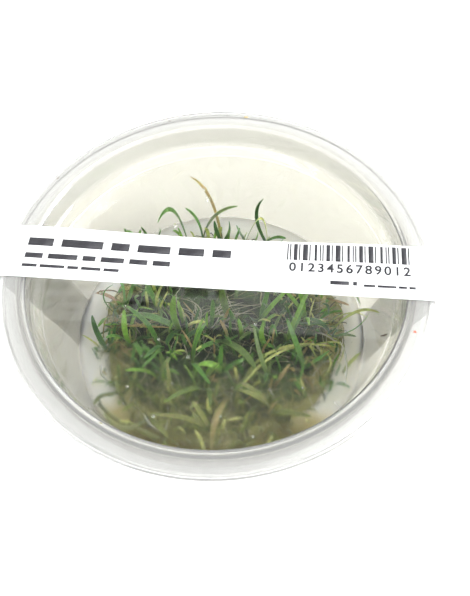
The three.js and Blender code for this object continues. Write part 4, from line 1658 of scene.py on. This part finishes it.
def undergrowth(draw):
    """Short leaves and shoots between the crowns, denser at the front and few in the bare patch of roots."""
    leaves = []
    rules = UNDERGROWTH
    for i in range(rules["count"]):
        r = rules["radius"] * math.sqrt((i + 0.5) / rules["count"])
        angle = i * GOLDEN + rules["swing"] * next(draw)
        x, y = r * math.cos(angle), r * math.sin(angle)
        if y < rules["front"]:
            x, y = rules["front_spread"] * x, rules["front_spread"] * y
        length = some(draw, *rules["length"])
        turn = 2 * math.pi * next(draw)
        lean = some(draw, *rules["lean"])
        width = some(draw, *rules["width"])
        shade = next(draw)
        if patch_reach(x, y) < rules["bare_patch"] and shade > rules["bare_share"]:
            continue
        if y > CROWD["back_row"]:
            length *= rules["back_shrink"]
        foot = (x, y, max(mat_top(x, y), GEL_TOP) - rules["sunk"])
        reach, rise = length * lean, length * math.sqrt(1 - lean * lean)
        tone = rules["tones"][int(shade * len(rules["tones"]))]
        leaf = arched(foot, (turn, turn), reach, rise, rules["middle"], width, tone)
        x, y, z = leaf["tip"]
        if math.hypot(x, y) < wall_radius(z) - rules["off_wall"] and under_slope(y, z):
            leaves.append(leaf)
    return leaves


def water_material():
    """Clean water drops with a tight, mirror smooth skin."""
    made, tree = new_material("water_drops")
    where = on_piece(tree)
    ripple = cloudy(tree, where, 1)
    rough = remap(tree, ripple, to_low=0.0, to_high=0.03)
    return end_material(made, {
        "Base Color": (1, 1, 1, 1),
        "Roughness": rough,
        "IOR": 1.333,
        "Transmission Weight": 1.0,
    })


# Drops hang this far under the panel, and from here to its front, in millimetres
DROP_DEPTH = 0.08
WET_FROM = -6


def drop_tree():
    """Geometry Nodes: flat drops strewn over the panel's underside, by their own sizes."""
    tree, given = new_tree("strewn_drops", (
        ("Density", "Float", 1.0),
        ("Smallest", "Float", 0.12 * MM),
        ("Largest", "Float", 0.5 * MM),
        ("Seed", "Int", 4),
    ))
    spots = add_node(tree, "GeometryNodeDistributePointsOnFaces", {
        "Mesh": given["Geometry"],
        "Density": given["Density"],
        "Seed": given["Seed"],
    })
    drop = socket(tree, "GeometryNodeMeshUVSphere", {"Segments": 12, "Rings": 7, "Radius": 1.0})
    odds = chance(tree, 0.0, 1.0, given["Seed"])
    few = calc(tree, "POWER", odds, 4.0)
    size = remap(tree, few, to_low=given["Smallest"], to_high=given["Largest"])
    low_drop = calc(tree, "MULTIPLY", size, 0.45)
    scale = socket(tree, "ShaderNodeCombineXYZ", {"X": size, "Y": size, "Z": low_drop})
    drops = socket(tree, "GeometryNodeInstanceOnPoints", {
        "Points": spots.outputs["Points"],
        "Instance": drop,
        "Scale": scale,
    })
    return end_tree(tree, given, drops)


class CULTURE_OT_drops(bpy.types.Operator):
    """Hangs drops and streaks of condensation under the lid's panel, and bubbles on the leaves"""

    bl_idname = "culture.drops"
    bl_label = "Condensation"

    def execute(self, context):
        bm = bmesh.new()
        bmesh.ops.create_circle(bm, cap_ends=True, segments=64, radius=(PANEL_RADIUS - 2) * MM)
        under = (PANEL_TOP - SHEET - DROP_DEPTH) * MM
        for vertex in bm.verts:
            vertex.co.z = under
            vertex.co.y = min(vertex.co.y, WET_FROM * MM)
        bmesh.ops.dissolve_degenerate(bm, edges=bm.edges, dist=0.01 * MM)
        region = bpy.data.meshes.new("wet_region")
        bm.to_mesh(region)
        bm.free()
        water = water_material()
        drops = run_tree(
            "condensation_drops", region, drop_tree(), density=40000.0, smallest=0.06 * MM, largest=0.4 * MM,
            material=water,
        )
        own(drops, "lid_plastic")
        rows = drawn(streak + ("root",) for streak in STREAKS)
        plants = context.scene.culture_plants
        draw = draws(STREAK_SEED)
        streaks = grow_blades("wet_streaks", rows, plants, draw, STREAK_STEPS, STREAK_SHAPE, water)
        own(streaks, "lid_plastic")
        bm = bmesh.new()
        for place, radius in BUBBLES:
            middle = Matrix.Translation(Vector(place) * MM)
            bmesh.ops.create_uvsphere(bm, u_segments=16, v_segments=10, radius=radius * MM, matrix=middle)
        own(finished("leaf_bubbles", bm, water), "leaves")
        return {"FINISHED"}


# Round patches of the sky: the direction of the middle, and the cosines of the edge and of the core
LAMP_PATCH = ((0.45, 0.08, 0.89), 0.955, 0.98)
CARD_PATCH = ((-0.08, 0.62, 0.78), 0.9, 0.96)
# The low soft light, in metres
KEY_PLACE = (0.55, 0.14, 0.24)
KEY_SIZE = 0.3
FLOOR_SIZE = 3.0
FLOOR_DEPTH = 0.05
# The camera as the photograph was taken: its place in millimetres, its directions and its focal length
CAMERA_PLACE = (15.321, -92.55, 183.212)
CAMERA_RIGHT = (0.99624, 0.08368, -0.02242)
CAMERA_UP = (-0.0597, 0.85064, 0.52235)
FOCAL_PIXELS = 726.025
FRAME_HEIGHT_PIXELS = 596
SENSOR = 36.0


def sky_patch(tree, facing, middle, edge, core):
    """How far a direction lies inside a round patch of the sky, from the cosines of its edge and its core."""
    ends = {0: facing, 1: Vector(middle).normalized()}
    nearness = add_node(tree, "ShaderNodeVectorMath", ends, operation="DOT_PRODUCT").outputs["Value"]
    return remap(tree, nearness, edge, core, interpolation_type="SMOOTHSTEP")


class CULTURE_OT_stage(bpy.types.Operator):
    """Sets the pale floor, the soft lights and the camera"""

    bl_idname = "culture.stage"
    bl_label = "Stage"

    def execute(self, context):
        settings = context.scene.culture_stage
        self.lay_floor(settings)
        self.hang_lights(context.scene, settings)
        self.place_camera(context.scene)
        return {"FINISHED"}

    def lay_floor(self, settings):
        """A wide pale floor that carries the cup."""
        made, tree = new_material("pale_studio_floor")
        where = on_piece(tree)
        cloud = cloudy(tree, where, 300)
        dim = tuple(c * 0.98 for c in settings.floor)
        colour = ramp(tree, cloud, ((0.3, dim), (0.7, settings.floor)))
        end_material(made, {"Base Color": colour, "Roughness": 0.8})
        bm = bmesh.new()
        bmesh.ops.create_grid(bm, x_segments=8, y_segments=8, size=FLOOR_SIZE)
        floor = finished("studio_floor", bm, made)
        for vertex in floor.data.vertices:
            vertex.co.z = -FLOOR_DEPTH * MM

    def hang_lights(self, scene, settings):
        """Soft light from all around and above, a grey card over the back, and a low light on the right."""
        world = bpy.data.worlds.new("soft_studio")
        world.use_nodes = True
        tree = world.node_tree
        tree.nodes.clear()
        facing = add_node(tree, "ShaderNodeTexCoord").outputs["Generated"]
        lamp_share = sky_patch(tree, facing, *LAMP_PATCH)
        lamp = remap(tree, lamp_share, to_low=settings.sky, to_high=settings.overhead)
        # The card stands where the flat lid would mirror the sky into the camera
        card_share = sky_patch(tree, facing, *CARD_PATCH)
        card = socket(tree, "ShaderNodeMix", {0: card_share, 2: lamp, 3: settings.card})
        sky = socket(tree, "ShaderNodeBackground", {"Color": solid(linear("fbfcfe")), "Strength": card})
        add_node(tree, "ShaderNodeOutputWorld", {"Surface": sky})
        scene.world = world
        light = bpy.data.lights.new("key", "AREA")
        light.energy = settings.key
        light.size = KEY_SIZE
        key = new_object("key", light)
        key.location = KEY_PLACE
        key.rotation_mode = "QUATERNION"
        key.rotation_quaternion = key.location.to_track_quat("Z", "Y")
        scene.view_settings.view_transform = "Standard"
        light_paths = scene.cycles
        light_paths.max_bounces = 32
        light_paths.transmission_bounces = 32
        light_paths.transparent_max_bounces = 16

    def place_camera(self, scene):
        """The camera at the photograph's viewing angle."""
        right, up = Vector(CAMERA_RIGHT), Vector(CAMERA_UP)
        back = right.cross(up)
        lens = bpy.data.cameras.new("camera")
        lens.sensor_fit = "VERTICAL"
        lens.sensor_height = SENSOR
        lens.lens = SENSOR * FOCAL_PIXELS / FRAME_HEIGHT_PIXELS
        lens.clip_start = 0.01
        lens.clip_end = 20
        camera = new_object("camera", lens)
        turn = Matrix((right, up, back)).transposed().to_4x4()
        camera.matrix_world = Matrix.Translation(Vector(CAMERA_PLACE) * MM) @ turn
        scene.camera = camera


STEPS = (
    CULTURE_OT_cup,
    CULTURE_OT_lid,
    CULTURE_OT_band,
    CULTURE_OT_print,
    CULTURE_OT_gel,
    CULTURE_OT_roots,
    CULTURE_OT_plantlets,
    CULTURE_OT_drops,
    CULTURE_OT_stage,
)


class CULTURE_PT_panel(bpy.types.Panel):
    """Lists the pieces of the cup in the order that they are built"""

    bl_idname = "CULTURE_PT_panel"
    bl_label = "Tissue culture cup"
    bl_space_type = "VIEW_3D"
    bl_region_type = "UI"
    bl_category = "Culture"

    def draw(self, context):
        for name, group in SETTINGS:
            box = self.layout.box()
            for key in group.__annotations__:
                box.prop(getattr(context.scene, name), key)
        for step in STEPS:
            self.layout.operator(step.bl_idname)


def register():
    for name, group in SETTINGS:
        bpy.utils.register_class(group)
        setattr(bpy.types.Scene, name, bpy.props.PointerProperty(type=group))
    for step in STEPS:
        bpy.utils.register_class(step)
    bpy.utils.register_class(CULTURE_PT_panel)


def unregister():
    bpy.utils.unregister_class(CULTURE_PT_panel)
    for step in reversed(STEPS):
        bpy.utils.unregister_class(step)
    for name, group in reversed(SETTINGS):
        delattr(bpy.types.Scene, name)
        bpy.utils.unregister_class(group)


def main():
    """Builds every piece in order."""
    register()
    for step in STEPS:
        group, action = step.bl_idname.split(".")
        getattr(getattr(bpy.ops, group), action)()


if __name__ == "__main__":
    main()
